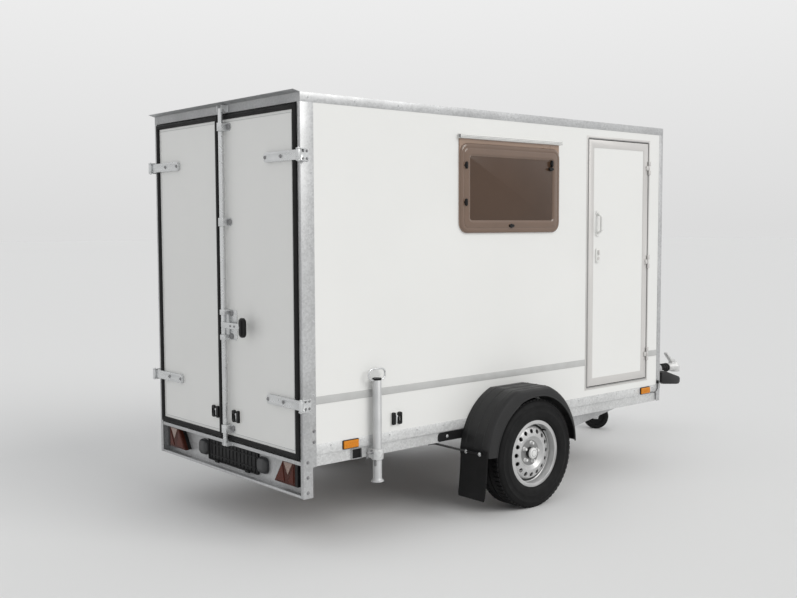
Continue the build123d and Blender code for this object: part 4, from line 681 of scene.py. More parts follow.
def catch(name, node, body, centre, out, across):
    """A catch on a face: out points away from it and across lies level on it."""
    out, across, up = Vector(out), Vector(across), Vector(UP)
    spot = Vector(centre)

    def ring(a, b, radius, height, by=0.0):
        corners = rounded(*inset(a, b, by), radius, 3)
        return [spot + across * u + up * v + out * height for u, v in corners]

    square, tall, bar, eye = about(0.0, CATCH_HALF), about(0.0, 0.033), (-0.034, -0.011), (0.006, 0.034)
    hole = ((0.0135, 0.0275), about(0.0, 0.017))
    base, top = 0.004, 0.0165
    plate = [ring(square, square, 0.006, 0.0), ring(square, square, 0.006, 0.0035)]
    plate = loft(bmesh.new(), plate + [ring(square, square, 0.005, 0.0045, 0.001)])
    black = [
        ring(bar, tall, 0.006, base), ring(bar, tall, 0.006, 0.0145), ring(bar, tall, 0.004, top, 0.0025)
    ]
    black = loft(bmesh.new(), black)
    loops = [
        ring(eye, tall, 0.008, base), ring(eye, tall, 0.008, 0.0145), ring(eye, tall, 0.007, top, 0.0022)
    ]
    hoop(black, loops + [ring(*hole, 0.006, top), ring(*hole, 0.006, base)])
    hook = loft(bmesh.new(), [ring((-0.0075, 0.003), (-0.022, 0.012), 0.003, h) for h in (base, 0.0115)])
    loft(hook, [ring((-0.009, 0.0045), (0.006, 0.018), 0.003, h) for h in (base, 0.0140)])
    place(name, plate, WHITE_PLASTIC, body, "black_plastic", *node)
    place(name + "_jaws", black, BLACK_PLASTIC, body, "black_plastic")
    place(name + "_hook", eased(hook, 0.0012), PLATED, body, "galvanised")


for side in ("left", "right"):
    door = "rear_door_" + side
    low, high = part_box(door + "_catch")
    middle = (high.x, (low.y + high.y) / 2, (low.z + high.z) / 2)
    catch(door + "_hold", (door + "_catch",), door, middle, BACK, LEFT)
low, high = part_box("wall_catches")
wall_out = -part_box("wall_right")[0].y
catch_z = (low.z + high.z) / 2
catch("wall_hold_right", ("wall_catches",), "chassis", (low.x + CATCH_HALF, -wall_out, catch_z), RIGHT, AHEAD)
catch("wall_hold_left", (), "chassis", (high.x - CATCH_HALF, wall_out, catch_z), LEFT, AHEAD)

# Rear lamps: a folded zinc carrier, two three-chamber tail lamps with red lenses, and a black
# number plate holder with a small lamp on each side. The plate itself is left off.
soften("lamp_carrier", ZINC, 0.001)
LENS_RED = finish(
    "red lens", (0.062, 0.013, 0.007), 0.26, mottle=0.1, cloud=20.0, grain=0.25, grit=300.0,
    Coat_Weight=0.06, Specular_IOR_Level=0.15,
)
REFLEX_RED = finish(
    "reflex red", (0.090, 0.020, 0.011), 0.28, mottle=0.22, cloud=160.0, grain=0.6, grit=260.0,
    Coat_Weight=0.06, Specular_IOR_Level=0.15,
)
LENS_CLEAR = finish(
    "clear lens", (0.27, 0.18, 0.145), 0.26, mottle=0.1, cloud=60.0, grain=0.3, grit=260.0, Coat_Weight=0.6
)
lens_low, lens_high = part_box("tail_lamp_lenses")
carrier_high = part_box("lamp_carrier")[1]
LENS_WIDE, LENS_TOP, LENS_RIM = 0.187, 0.106, 0.024
LENS_TALL = lens_high.z - lens_low.z
lens_face, web_x = lens_low.x, carrier_high.x - 0.003
lens_deep = web_x - lens_face


def trapezium(side, by, x):
    """A loop of the lens outline: upright outer edge, sloped inner edge."""
    outer, (bottom, top) = lens_high.y - by, (lens_low.z + by, lens_high.z - by)
    foot, crown = lens_high.y - LENS_WIDE + by * 1.15, lens_high.y - LENS_TOP + by * 0.85
    corners = ((outer, bottom), (foot, bottom), (crown, top), (outer, top))
    return [Vector((x, side * y, z)) for y, z in corners]


def wedge(shape, side, corners, x, rise):
    """A raised three-cornered field on a lens: corners as shares from the outer edge and the bottom."""
    middle = Vector((sum(c[0] for c in corners) / 3, sum(c[1] for c in corners) / 3))
    loops = []
    for by, level in ((0.0, x), (0.0, x - rise * 0.6), (0.04, x - rise)):
        spots = [Vector(c).lerp(middle, by) for c in corners]
        loop = [(lens_high.y - s.x * LENS_WIDE, lens_low.z + s.y * LENS_TALL) for s in spots]
        loops.append([Vector((level, side * y, z)) for y, z in loop])
    loft(shape, loops)


shells, reflex, clear, cases = bmesh.new(), bmesh.new(), bmesh.new(), bmesh.new()
LENS_STEPS = ((0.0, 0.026), (0.0, 0.008), (0.003, 0.003), (0.006, 0.0025), (0.008, 0.0045))
LENS_FIELD = 0.0045
LENS_EDGE = ((0.0, lens_deep), (0.0, 0.007), (0.003, 0.004))
for side in (1, -1):
    loft(shells, [trapezium(side, by, lens_face + x) for by, x in LENS_STEPS])
    for shape, corners, rise in (
        (reflex, ((0.50, 0.10), (0.92, 0.10), (0.60, 0.86)), 0.0035),
        (reflex, ((0.07, 0.10), (0.07, 0.80), (0.30, 0.10)), 0.0030),
        (clear, ((0.10, 0.92), (0.52, 0.92), (0.33, 0.42)), 0.0040),
    ):
        wedge(shape, side, corners, lens_face + LENS_FIELD, rise)
    loft(cases, [trapezium(side, 0.0015, lens_high.x), trapezium(side, 0.0015, web_x)])
    y = sorted((side * lens_high.y, side * (lens_high.y + LENS_RIM)))
    loft(cases, slab(X, y, (lens_low.z, lens_high.z), 0.006, lens_face, 1, LENS_EDGE))
place("tail_lenses", shells, LENS_RED, "chassis", "lens_red", "tail_lamp_lenses", crease=25)
place("tail_reflex", reflex, REFLEX_RED, "chassis", "lens_red", crease=25)
place("tail_windows", clear, LENS_CLEAR, "chassis", "lens_red", crease=25)
PLATE_HALF, PLATE_TALL, PLATE_SET, PLATE_DROP = 0.263, 0.127, 0.037, 0.032
PLATE_BARS, BAR_REACH, BAR_TALL = 0.030, 0.245, 0.003
PLATE_RIBS, RIB_FIRST, RIB_STEP, RIB_WIDE, RIB_IN = 13, -0.228, 0.038, 0.002, 0.012
CLIP_OUT, CLIP_WIDE = 0.16, 0.018
plate_face = lens_face + PLATE_SET
plate_z = carrier_high.z - PLATE_DROP - PLATE_TALL / 2
tray_z = about(plate_z, PLATE_TALL / 2)
TRAY = ((0.0, web_x - plate_face), (0.0, 0.003), (0.003, 0.0), (0.009, 0.0), (0.011, 0.006))
loft(cases, slab(X, (-PLATE_HALF, PLATE_HALF), tray_z, 0.010, plate_face, 1, TRAY))
for level in about(plate_z, PLATE_BARS):
    z = about(level, BAR_TALL)
    brick(cases, (plate_face + 0.002, -BAR_REACH, z[0]), (plate_face + 0.009, BAR_REACH, z[1]))
for i in range(PLATE_RIBS):
    y = about(RIB_FIRST + RIB_STEP * i, RIB_WIDE)
    z = (tray_z[0] + RIB_IN, tray_z[1] - RIB_IN)
    brick(cases, (plate_face + 0.003, y[0], z[0]), (plate_face + 0.009, y[1], z[1]))
for middle in (-CLIP_OUT, CLIP_OUT):
    y = about(middle, CLIP_WIDE)
    brick(cases, (plate_face - 0.006, y[0], tray_z[0] - 0.003), (plate_face + 0.006, y[1], tray_z[0] + 0.010))
LAMP_WIDE, LAMP_TALL, LAMP_ROUND, GLASS_TALL, GLASS_OUT = 0.092, 0.045, 0.032, 0.024, 0.040
LAMP_DOME = ((0.0, lens_deep), (0.0, 0.040), (0.004, 0.029), (0.014, 0.022), (0.026, 0.020))
lamp_glass, domes = bmesh.new(), bmesh.new()
for side in (1, -1):
    near = side * (PLATE_HALF + 0.001)
    y = sorted((near, near + side * LAMP_WIDE))
    loft(domes, slab(X, y, about(plate_z, LAMP_TALL), LAMP_ROUND, lens_face, 1, LAMP_DOME))
    y, z = sorted((near - side * 0.003, near + side * 0.006)), about(plate_z, GLASS_TALL)
    brick(lamp_glass, (lens_face + GLASS_OUT, y[0], z[0]), (web_x, y[1], z[1]))
# The plate lamp domes are black plastic drawn in a lighter grey: painted light for their lit sides.
BLACK_PLASTIC_PAINTED_LIT = finish(
    "black plastic painted lit", (0.040, 0.041, 0.043), 0.40, mottle=0.10, cloud=14.0, grain=0.3, grit=900.0
)
place("plate_lamps", domes, BLACK_PLASTIC_PAINTED_LIT, "chassis", "black_plastic", crease=40)
LEAD_X, LEAD_TOP, LEAD_Y = 0.847, 0.552, -0.757
GLAND = ((0.0, 0.0), (0.0, 0.018), (0.003, 0.022))        # in from the edge, up from the lead's exit
loft(cases, slab(Z, about(LEAD_X, 0.009), (-HALF - 0.012, -HALF), 0.003, LEAD_TOP, 1, GLAND, 4))
place("lamp_cases", cases, BLACK_PLASTIC, "chassis", "black_plastic", "lamp_housings", crease=40)
PLATE_GLASS = finish(
    "lamp glass", (0.62, 0.62, 0.60), 0.15, mottle=0.06, cloud=40.0, grain=0.2, Transmission_Weight=0.4
)
place("plate_lamp_glass", eased(lamp_glass, 0.002), PLATE_GLASS, "chassis", "white_plastic")

# Side markers: amber reflector lamps on black bases, two on each side below the wall. The right
# front one is fed by a short lead that hangs in a loop from its gland.
LENS_AMBER = finish(
    "amber lens", (0.66, 0.225, 0.008), 0.24, mottle=0.12, cloud=120.0, grain=0.5, grit=240.0,
    Coat_Weight=0.2, Specular_IOR_Level=0.3,
)
bases, ambers = bmesh.new(), bmesh.new()
marker_low, marker_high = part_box("side_markers")
marker_z = (marker_low.z, marker_high.z)
MARKER_LONG = 0.105
MARKER_FOOT = ((0.0, 0.0), (0.0, 0.005), (0.002, 0.006))     # in from the edge, out from the rail
MARKER_DOME = ((0.004, 0.004), (0.004, 0.010), (0.007, 0.0132), (0.013, 0.014))
FLUTES, FLUTE_FIRST, FLUTE_STEP, FLUTE_WIDE, FLUTE_IN = 9, 0.0165, 0.009, 0.0016, 0.013
FLUTE_OUT = (0.0135, 0.0148)
for x in (marker_low.x, marker_high.x - MARKER_LONG):
    for side in (1, -1):
        u = (x, x + MARKER_LONG)
        loft(bases, slab(Y, u, marker_z, 0.006, side * HALF, side, MARKER_FOOT, 3))
        loft(ambers, slab(Y, u, marker_z, 0.008, side * HALF, side, MARKER_DOME, 3))
        y = sorted(side * (HALF + out) for out in FLUTE_OUT)
        for i in range(FLUTES):
            flute = about(x + FLUTE_FIRST + FLUTE_STEP * i, FLUTE_WIDE)
            brick(ambers, (flute[0], y[0], marker_z[0] + FLUTE_IN), (flute[1], y[1], marker_z[1] - FLUTE_IN))
place("marker_lenses", ambers, LENS_AMBER, "chassis", "lens_amber", "side_markers", crease=30)
place("marker_bases", bases, BLACK_PLASTIC, "chassis", "black_plastic", crease=30)
LEAD_ROUTE = (             # along the rail and up, in metres
    (0.847, 0.552), (0.847, 0.531), (0.835, 0.509), (0.8115, 0.493), (0.7825, 0.500), (0.7555, 0.500),
)
LEAD_RADIUS, LEAD_LENGTH = 0.0025, 0.129


def spline(name, points, radius, look):
    """A round bar or cord along one smooth spline."""
    curve = bpy.data.curves.new(name, "CURVE")
    curve.dimensions = "3D"
    curve.bevel_depth = radius
    curve.bevel_resolution = 4
    curve.use_fill_caps = True
    run = curve.splines.new("NURBS")
    run.points.add(len(points) - 1)
    for spot, point in zip(run.points, points):
        spot.co = (*point, 1.0)
    run.order_u = 3
    run.use_endpoint_u = True
    run.resolution_u = 8
    curve.materials.append(look)
    made = bpy.data.objects.new(name, curve)
    bpy.context.collection.objects.link(made)
    return made


lead = spline("marker_cord", [(x, LEAD_Y, z) for x, z in LEAD_ROUTE], LEAD_RADIUS, RUBBER)
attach(lead, "chassis")
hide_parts("marker_lead")

# Wheels: radial tyres on silver painted steel rims with sixteen vent holes, each held by five
# bolts on a braked hub with a pressed dust cap. The shoulder blocks of the tread repeat round it.
TYRE_RUBBER = finish(
    "tyre rubber", (0.0065, 0.0065, 0.0068), 0.68, mottle=0.18, cloud=10.0, grain=0.3, grit=500.0,
    Specular_IOR_Level=0.2,
)
# Near-black steel for the hub: its own dark drum colour, and also painted shade round the cap's side. It also
# colours a thin ring in the corner between disc and barrel, which is painted shade.
DARK_DRUM_AND_SHADE = finish("drum steel and painted shade", (0.022, 0.022, 0.022), 0.6, metal=0.2, mottle=0.2, cloud=12.0, grain=0.3)
BOLT_ZINC = finish("bright zinc", (0.78, 0.78, 0.775), 0.40, metal=0.25, mottle=0.05, cloud=30.0, grain=0.05)
# The ring over the wheel's centre recess is darker than the rim: painted shade for the recess.
DISH_PAINTED_SHADE = finish("dish painted shade", (0.24, 0.24, 0.24), 0.42, metal=0.35, mottle=0.06, cloud=10.0, grain=0.1)
RIM_SILVER = finish(
    "rim silver", (0.54, 0.54, 0.54), 0.36, metal=0.45, mottle=0.04, cloud=8.0, grain=0.12, grit=900.0,
    Coat_Weight=0.3,
)


def tread_block(tree, given):
    """A tread block of the given length, width and height."""
    sides = {"X": given["Block length"], "Y": given["Block width"], "Z": given["Block height"]}
    size = add(tree, "ShaderNodeCombineXYZ", sides).outputs["Vector"]
    return add(tree, "GeometryNodeMeshCube", {"Size": size}).outputs["Mesh"]


BLOCK_SOCKETS = dict.fromkeys(("Block length", "Block width", "Block height"), "Float")
TREAD = points_tree("tread blocks", BLOCK_SOCKETS, tread_block)
WALL = (                   # outward from the tyre's middle, radius
    (0.0755, 0.1953), (0.0790, 0.1975), (0.0835, 0.2035), (0.0868, 0.2100), (0.0885, 0.2120),
    (0.0905, 0.2200), (0.0932, 0.2330), (0.0945, 0.2440), (0.0950, 0.2470), (0.0946, 0.2500),
    (0.0930, 0.2530), (0.0928, 0.2650), (0.0920, 0.2780), (0.0930, 0.2800), (0.0928, 0.2830),
    (0.0908, 0.2850), (0.0868, 0.2970), (0.0805, 0.3060), (0.0740, 0.3105), (0.0360, 0.3118),
    (0.0350, 0.3174), (0.0330, 0.3180), (0.0070, 0.3180), (0.0050, 0.3174), (0.0040, 0.3115),
)
TREAD_BLOCKS, TREAD_ROW, TREAD_RADIUS, TREAD_TURN = 66, 0.0555, 0.3135, 0.01
BLOCK = {"Block length": 0.0225, "Block width": 0.0365, "Block height": 0.0085, "Finish": TYRE_RUBBER}
CAP = (
    (0.056, 0.0), (0.056, 0.0322), (0.0625, 0.0320), (0.0670, 0.0292), (0.0697, 0.0225),
    (0.0704, 0.012), (0.0704, 0.0),
)
DISH = ((0.0350, 0.034), (0.0364, 0.034), (0.0364, 0.0755), (0.0350, 0.0755), (0.0350, 0.034))
RIM_CORNER_SHADE = ((0.0252, 0.1560), (0.0262, 0.1560), (0.0262, 0.1700), (0.0252, 0.1700), (0.0252, 0.1560))
BOLTS, BOLT_CIRCLE, BOLT_SEAT, BOLT_TURN = 5, 0.056, 0.0362, 0.1
STEM = (
    (0.0, 0.0), (0.0, 0.0055), (0.014, 0.005), (0.016, 0.0038), (0.030, 0.0038), (0.031, 0.003), (0.031, 0.0)
)
VALVE_OUT, VALVE_AT = 0.034, Vector((0.108, 0.0, 0.122))
for side, sign in (("left", 1), ("right", -1)):
    body = "wheel_" + side
    low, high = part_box("tyre_" + side)
    centre = (low + high) / 2
    outward = Vector((0, sign, 0))
    tyre = lathe(bmesh.new(), [*WALL, *((-d, r) for d, r in reversed(WALL))], centre, outward, 96)
    place("tyre_piece_" + side, tyre, TYRE_RUBBER, body, "tyre", "tyre_" + side, crease=38)
    points, facings = [], []
    for row in (-1, 1):
        for i in range(TREAD_BLOCKS):
            turn = 2 * pi * (i + 0.25 + 0.25 * row) / TREAD_BLOCKS + TREAD_TURN
            way = Vector((cos(turn), 0.0, sin(turn)))
            points.append(centre + outward * row * TREAD_ROW + way * TREAD_RADIUS)
            facings.append(way)
    grown("tread_" + side, points, facings, TREAD, BLOCK, body)
    soften("rim_" + side, RIM_SILVER, 0.0012)
    soften("hub_" + side, DARK_DRUM_AND_SHADE, 0.0020)
    for name, outline, look, slot, steps in (
        ("dust_cap_", CAP, BOLT_ZINC, "hub_steel", 40),
        ("wheel_dish_", DISH, DISH_PAINTED_SHADE, "rim_silver", 48),
        ("rim_corner_shade_", RIM_CORNER_SHADE, DARK_DRUM_AND_SHADE, "rim_silver", 64),
    ):
        place(name + side, lathe(bmesh.new(), outline, centre, outward, steps), look, body, slot, crease=35)
    rows = []
    for i in range(BOLTS):
        turn = 2 * pi * (i + BOLT_TURN) / BOLTS
        spot = centre + outward * BOLT_SEAT + Vector((cos(turn), 0.0, sin(turn))) * BOLT_CIRCLE
        rows.append((spot, outward))
    fixings("wheel_bolts_" + side, rows, BOLT_ZINC, 0.0105, 0.014, body, sides=6, washer=1.3)
    valve = lathe(bmesh.new(), STEM, centre + outward * VALVE_OUT + VALVE_AT, outward, 16)
    place("valve_" + side, valve, RUBBER, body, "tyre", crease=40)

# Mudguards: black plastic in one moulding, flat on top with sloped ends, fine ribs along the top
# and a beaded skirt. A rubber flap is bolted to the back edge and a bent rod stays it to the rail.
guard_low, guard_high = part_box("mudguards")
tyre_low, tyre_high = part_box("tyre_left")
GUARD_X, GUARD_REACH = (guard_low.x + guard_high.x) / 2, (guard_high.x - guard_low.x) / 2
GUARD_TOP, GUARD_LOW = guard_high.z, guard_low.z
GUARD_FLAT = 0.140
HAUNCH = Vector((0.277, 0.089))
SKIRT, OPENING = 0.0635, 0.338
SKIRT_FROM, SKIRT_LEAST = 0.03, -0.036


def arc(a, b, c, count):
    """Points on the circle through three points, from the first to the last."""
    (ax, ay), (bx, by), (cx, cy) = a, b, c
    d = 2 * (ax * (by - cy) + bx * (cy - ay) + cx * (ay - by))
    aa, bb, cc = ax * ax + ay * ay, bx * bx + by * by, cx * cx + cy * cy
    hub_x = (aa * (by - cy) + bb * (cy - ay) + cc * (ay - by)) / d
    hub_y = (aa * (cx - bx) + bb * (ax - cx) + cc * (bx - ax)) / d
    hub = Vector((hub_x, hub_y))
    first, last = Vector(a) - hub, Vector(c) - hub
    sweep = first.angle_signed(last)
    points = []
    for i in range(count + 1):
        spin = Matrix.Rotation(-sweep * i / count, 2)
        points.append(hub + spin @ first)
    return points


rear = arc((-GUARD_REACH, GUARD_LOW), (-HAUNCH.x, GUARD_TOP - HAUNCH.y), (-GUARD_FLAT, GUARD_TOP), 16)
flat = [Vector((-GUARD_FLAT + 2 * GUARD_FLAT * i / 8, GUARD_TOP)) for i in range(1, 8)]
fore = [Vector((-p.x, p.y)) for p in reversed(rear)]
line = rear + flat + fore
EDGE = (                   # out from the wall, in from the outer skin
    (0.000, 0.0000), (0.036, 0.0000), (0.038, -0.0018), (0.042, -0.0018), (0.044, 0.0000),
    (0.106, 0.0000), (0.108, -0.0018), (0.112, -0.0018), (0.114, 0.0000), (0.170, 0.0000),
    (0.172, -0.0018), (0.176, -0.0018), (0.178, 0.0000), (0.198, 0.0010), (0.210, 0.0045),
    (0.2185, 0.0120), (0.2220, 0.0240), (0.2225, 0.0550), (0.2250, 0.0575), (0.2250, 0.0615),
    (0.2225, 0.0635), (0.2190, 0.0620), (0.2180, 0.0250), (0.2140, 0.0130), (0.2050, 0.0070),
    (0.1950, 0.0050), (0.000, 0.0045),
)
guards = bmesh.new()
axle = Vector(((tyre_low.x + tyre_high.x) / 2 - GUARD_X, (tyre_low.z + tyre_high.z) / 2))
for side in (1, -1):
    loops = []
    for i, spot in enumerate(line):
        run = (line[min(i + 1, len(line) - 1)] - line[max(i - 1, 0)]).normalized()
        inward = Vector((run.y, -run.x))
        loop = []
        free = max((spot - axle).length - OPENING - SKIRT, SKIRT_LEAST)
        for out, deep in EDGE:
            at = spot + inward * (deep + free if deep > SKIRT_FROM else deep)
            loop.append(Vector((GUARD_X + at.x, side * (HALF + out), at.y)))
        loops.append(loop)
    loft(guards, loops)
GUARD_BLACK = finish(
    "guard plastic", (0.015, 0.015, 0.0155), 0.42, mottle=0.14, cloud=6.0, grain=0.4, grit=1100.0,
    Specular_IOR_Level=0.35,
)
place("guard_shells", guards, GUARD_BLACK, "chassis", "black_plastic", "mudguards", crease=30)
flap_low, flap_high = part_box("mudflaps")
FLAP_ROWS, FLAP_IN, FLAP_BEND = 14, 0.008, 0.022
FLAP_CORNER, CORNER_FROM = 0.005, 0.93
flaps = bmesh.new()
for side in (1, -1):
    loops = []
    for i in range(FLAP_ROWS + 1):
        share = i / FLAP_ROWS
        z = flap_high.z + (flap_low.z - flap_high.z) * share
        corner = FLAP_CORNER * max(0.0, (share - CORNER_FROM) / (1.0 - CORNER_FROM)) ** 2
        bend = FLAP_BEND * share * share
        x0, x1 = flap_low.x - bend, flap_high.x - bend
        y0, y1 = side * (HALF + FLAP_IN + corner), side * (flap_high.y - corner)
        loops.append([Vector(p) for p in ((x0, y0, z), (x0, y1, z), (x1, y1, z), (x1, y0, z))])
    loft(flaps, loops)
place("flap_sheets", flaps, RUBBER, "chassis", "black_rubber", "mudflaps", crease=30)
stay_low, stay_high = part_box("guard_stays")
STAY_THICK = 0.006
rows = []
for side in (1, -1):
    x, z = flap_low.x - 2 * STAY_THICK + 0.002, stay_low.z + STAY_THICK
    ends = (side * (HALF + 0.06), side * (flap_high.y - 0.05))
    rows.append(((x, ends[0], z), (x, ends[1], z), 2, BACK))
fixings("flap_bolts", rows, PLATED, 0.0075, 0.005, "chassis", sides=6, washer=1.6)


def rod(name, routes, radius, look, body, slot, *nodes):
    """Bent round bars along smooth routes, as one plain mesh."""
    shape = bmesh.new()
    for points in routes:
        curve = spline(name + "_route", points, radius, look)
        view = bpy.context.evaluated_depsgraph_get()
        mesh = bpy.data.meshes.new_from_object(curve.evaluated_get(view))
        shape.from_mesh(mesh)
        data = curve.data
        bpy.data.objects.remove(curve)
        bpy.data.curves.remove(data)
        bpy.data.meshes.remove(mesh)
    place(name, joined(shape), look, body, slot, *nodes, crease=45)


STAY_FOOT, STAY_TURN, STAY_RUN = 0.713, 0.81, 0.04
routes = []
for side in (1, -1):
    start = Vector((stay_low.x, side * STAY_FOOT, stay_high.z - STAY_THICK))
    bend = start + Vector((STAY_RUN, 0.0, 0.0))
    turn = Vector((stay_high.x - STAY_THICK, side * STAY_TURN, stay_low.z + STAY_THICK))
    last = Vector((turn.x, side * (stay_high.y - STAY_THICK), turn.z))
    routes.append(
        [start, bend, bend.lerp(turn, 0.12), bend.lerp(turn, 0.86), turn, turn.lerp(last, 0.2), last]
    )
BLACK_STEEL = finish(
    "black steel", (0.011, 0.011, 0.0115), 0.38, metal=0.2, mottle=0.14, cloud=12.0, grain=0.15
)
WEB_Y = 0.740
# A flat black plate lies on each rail's web ahead of the guard, with a bolt through it: painted shade and
# reflection where the guard darkens the zinc.
SHADE_PLATE = ((0.0, -0.001), (0.0, 0.004), (0.001, 0.005))       # in from the edge, out from the rail's web
SHADE_PLATE_ROUND, SHADE_PLATE_BOLT = (0.012, 0.002, 0.002, 0.020), (0.095, 0.005, 0.029)
shade_plates = bmesh.new()
rows = []
for side, facing in ((1, LEFT), (-1, RIGHT)):
    u, v = (guard_low.x - 0.165, guard_low.x + 0.03), (rails_low.z + 0.004, rails_low.z + 0.054)
    loft(shade_plates, slab(Y, u, v, SHADE_PLATE_ROUND, side * WEB_Y, side, SHADE_PLATE, 4))
    back, out, up = SHADE_PLATE_BOLT
    rows.append(((guard_low.x - back, side * (WEB_Y + out), rails_low.z + up), facing))
place("guard_shade_plates", shade_plates, BLACK_STEEL, "chassis", "black_plastic")
fixings("guard_bolts", rows, PLATED, 0.0065, 0.004, "chassis", sides=6, washer=1.4)
rod("flap_stays", routes, STAY_THICK, BLACK_STEEL, "chassis", SLOT_OF["guard_stays"], "guard_stays")

# Drop legs: zinc-plated tubes with a pressed foot and a wire loop to pull them by. Each slides in
# a cast clamp on the rail and is held by a screw with a cross bar.
TUBE_ZINC = finish("tube zinc", (0.53, 0.535, 0.54), 0.48, metal=0.40, mottle=0.06, cloud=10.0, grain=0.08)
soften("leg_clamps", PALE_ZINC, 0.0022)
LOOP_WIRE, LOOP_TALL, LOOP_HALF, LOOP_ROUND, LOOP_SUNK = 0.005, 0.050, 0.056, 0.0276, 0.010
LEG_FOOT = (               # up from the bottom of the foot, radius
    (0.004, 0.0), (0.004, 0.026), (0.0, 0.0315), (0.0015, 0.0342), (0.004, 0.0350),
    (0.0065, 0.0342), (0.0085, 0.0305), (0.013, 0.0262), (0.020, 0.0240),
)
LEG_MOUTH = ((-0.002, 0.0240), (0.0, 0.0228), (-0.001, 0.0212), (-0.060, 0.0208), (-0.060, 0.0))
PLUG = ((-0.009, 0.0), (-0.009, 0.0245), (0.0008, 0.0245), (0.0014, 0.0230), (0.0014, 0.0))
SLOT_WIDE, SLOT_TALL, SLOT_ROUND, SLOT_DEEP = (0.002, 0.016), (0.085, 0.118), 0.006, (0.0175, 0.0247)
for side, sign in (("left", 1), ("right", -1)):
    leg = "leg_" + side
    low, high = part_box(leg)
    x, y = (low.x + high.x) / 2, (low.y + high.y) / 2
    mouth = high.z - LOOP_TALL - LOOP_WIRE
    tube = [(low.z + up, r) for up, r in LEG_FOOT] + [(mouth + up, r) for up, r in LEG_MOUTH]
    tube = lathe(bmesh.new(), tube, (x, y, 0.0), UP, 40)
    place("leg_tube_" + side, tube, TUBE_ZINC, leg, "galvanised", leg, crease=35)
    bottom = mouth - LOOP_SUNK
    oval = rounded(about(0.0, LOOP_HALF), (bottom, high.z - LOOP_WIRE), LOOP_ROUND, 4)
    route = [(0.0, bottom)] + oval[5:] + oval[:5] + [(0.0, bottom)]
    rod("leg_loop_" + side, [[(x + u, y, v) for u, v in route]], LOOP_WIRE, PLATED, leg, "galvanised")
    plug = lathe(bmesh.new(), PLUG, (x, y, mouth), UP, 32)
    place("leg_plug_" + side, plug, BLACK_PLASTIC, leg, "black_plastic", crease=35)
    # The slot is not cut: a dark plate set into the tube's wall is painted shade for the hole.
    outline = rounded(SLOT_WIDE, [low.z + up for up in SLOT_TALL], SLOT_ROUND, 4)
    slot_shade = [[Vector((x - out, y + sign * u, v)) for u, v in outline] for out in SLOT_DEEP]
    place("leg_slot_shade_" + side, loft(bmesh.new(), slot_shade), DULL_STEEL, leg, "galvanised")
leg_low, leg_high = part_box("leg_left")
clamp_low, clamp_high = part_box("leg_clamps")
clamp = (Vector((leg_low.x, leg_low.y, clamp_low.z)) + Vector((leg_high.x, leg_high.y, clamp_high.z))) / 2
RING, SCREW_UP, BAR_OUT, BAR_LEAN = 0.030, 0.012, 0.034, Vector((0.0, 0.20, 0.98))
SCREW = (                  # out from the ring, radius
    (-0.004, 0.0), (-0.004, 0.010), (0.010, 0.010), (0.0105, 0.0065), (0.040, 0.0065),
    (0.041, 0.0055), (0.041, 0.0),
)
BAR = ((-0.030, 0.0), (-0.030, 0.0042), (-0.029, 0.005), (0.029, 0.005), (0.030, 0.0042), (0.030, 0.0))
BEAM = ((0.0, -0.001), (0.0, 0.011), (0.003, 0.011), (0.003, -0.001))  # in from the edge, out from the web
# Black rubber sheets close the beam ends: painted shade for the hollow inside of the ends.
BEAM_END_SHADE = ((0.002, -0.001), (0.002, 0.0015))
screws, beams, end_shades = bmesh.new(), bmesh.new(), bmesh.new()
for side in (1, -1):
    spot = Vector((clamp.x - RING, side * clamp.y, clamp.z + SCREW_UP))
    lathe(screws, SCREW, spot, BACK, 20)
    lathe(screws, BAR, spot + BAR_OUT * Vector(BACK), (BAR_LEAN.x, BAR_LEAN.y, BAR_LEAN.z * side), 16)
    u, v = (clamp.x - 0.142, clamp.x - 0.074), (rails_low.z + 0.002, rails_low.z + 0.058)
    hoop(beams, slab(Y, u, v, 0.006, side * WEB_Y, side, BEAM, 3))
    loft(end_shades, slab(Y, u, v, 0.005, side * WEB_Y, side, BEAM_END_SHADE, 3))
place("clamp_screws", screws, DULL_STEEL, "chassis", "galvanised", crease=35)
place("leg_beam_ends", beams, ZINC, "chassis", "galvanised")
place("leg_beam_end_shades", end_shades, RUBBER, "chassis", "black_rubber")

# Coupling: a pressed housing on the drawbar, black rubber bellows over the drawtube, a cast ball
# head with a raised light handle, and a black handbrake lever with a rubber grip.
soften("overrun_housing", ZINC, 0.0040)
CAST = finish(
    "coupling cast", (0.64, 0.64, 0.635), 0.46, metal=0.3, mottle=0.10, cloud=16.0, grain=0.3, grit=220.0
)
soften("coupling_head", CAST, 0.0035)
soften("coupling_handle", CAST, 0.0050)
soften("handbrake_lever", BLACK_STEEL, 0.0045)
FOLDS, FOLD_STEPS, FOLD_WAIST = 4, 12, 0.78
fold_low, fold_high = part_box("overrun_bellows")
fold_mid = (fold_low + fold_high) / 2
fold_outer = (fold_high.z - fold_low.z) / 2
fold_inner = fold_outer * FOLD_WAIST
outline = [(fold_low.x, 0.0)]
for i in range(FOLDS * FOLD_STEPS + 1):
    share = i / (FOLDS * FOLD_STEPS)
    full = (0.5 - 0.5 * cos(2 * pi * FOLDS * share)) ** 0.8
    along = fold_low.x + (fold_high.x - fold_low.x) * share
    outline.append((along, fold_inner + (fold_outer - fold_inner) * full))
outline.append((fold_high.x, 0.0))
folds = lathe(bmesh.new(), outline, (0.0, fold_mid.y, fold_mid.z), AHEAD, 48)
place("bellows_folds", folds, RUBBER, "chassis", "black_rubber", "overrun_bellows", crease=60)

# Jockey wheel: a zinc-plated tube in a clamp on the drawbar, with a crank on top that drives the
# inner tube. The inner tube carries a swivelling fork with a solid black wheel.
soften("jockey_outer_tube", PLATED, 0.0022)
soften("jockey_inner_tube", PLATED, 0.0010)
soften("jockey_fork", PLATED, 0.0016)
soften("jockey_wheel", RUBBER, 0.0040)

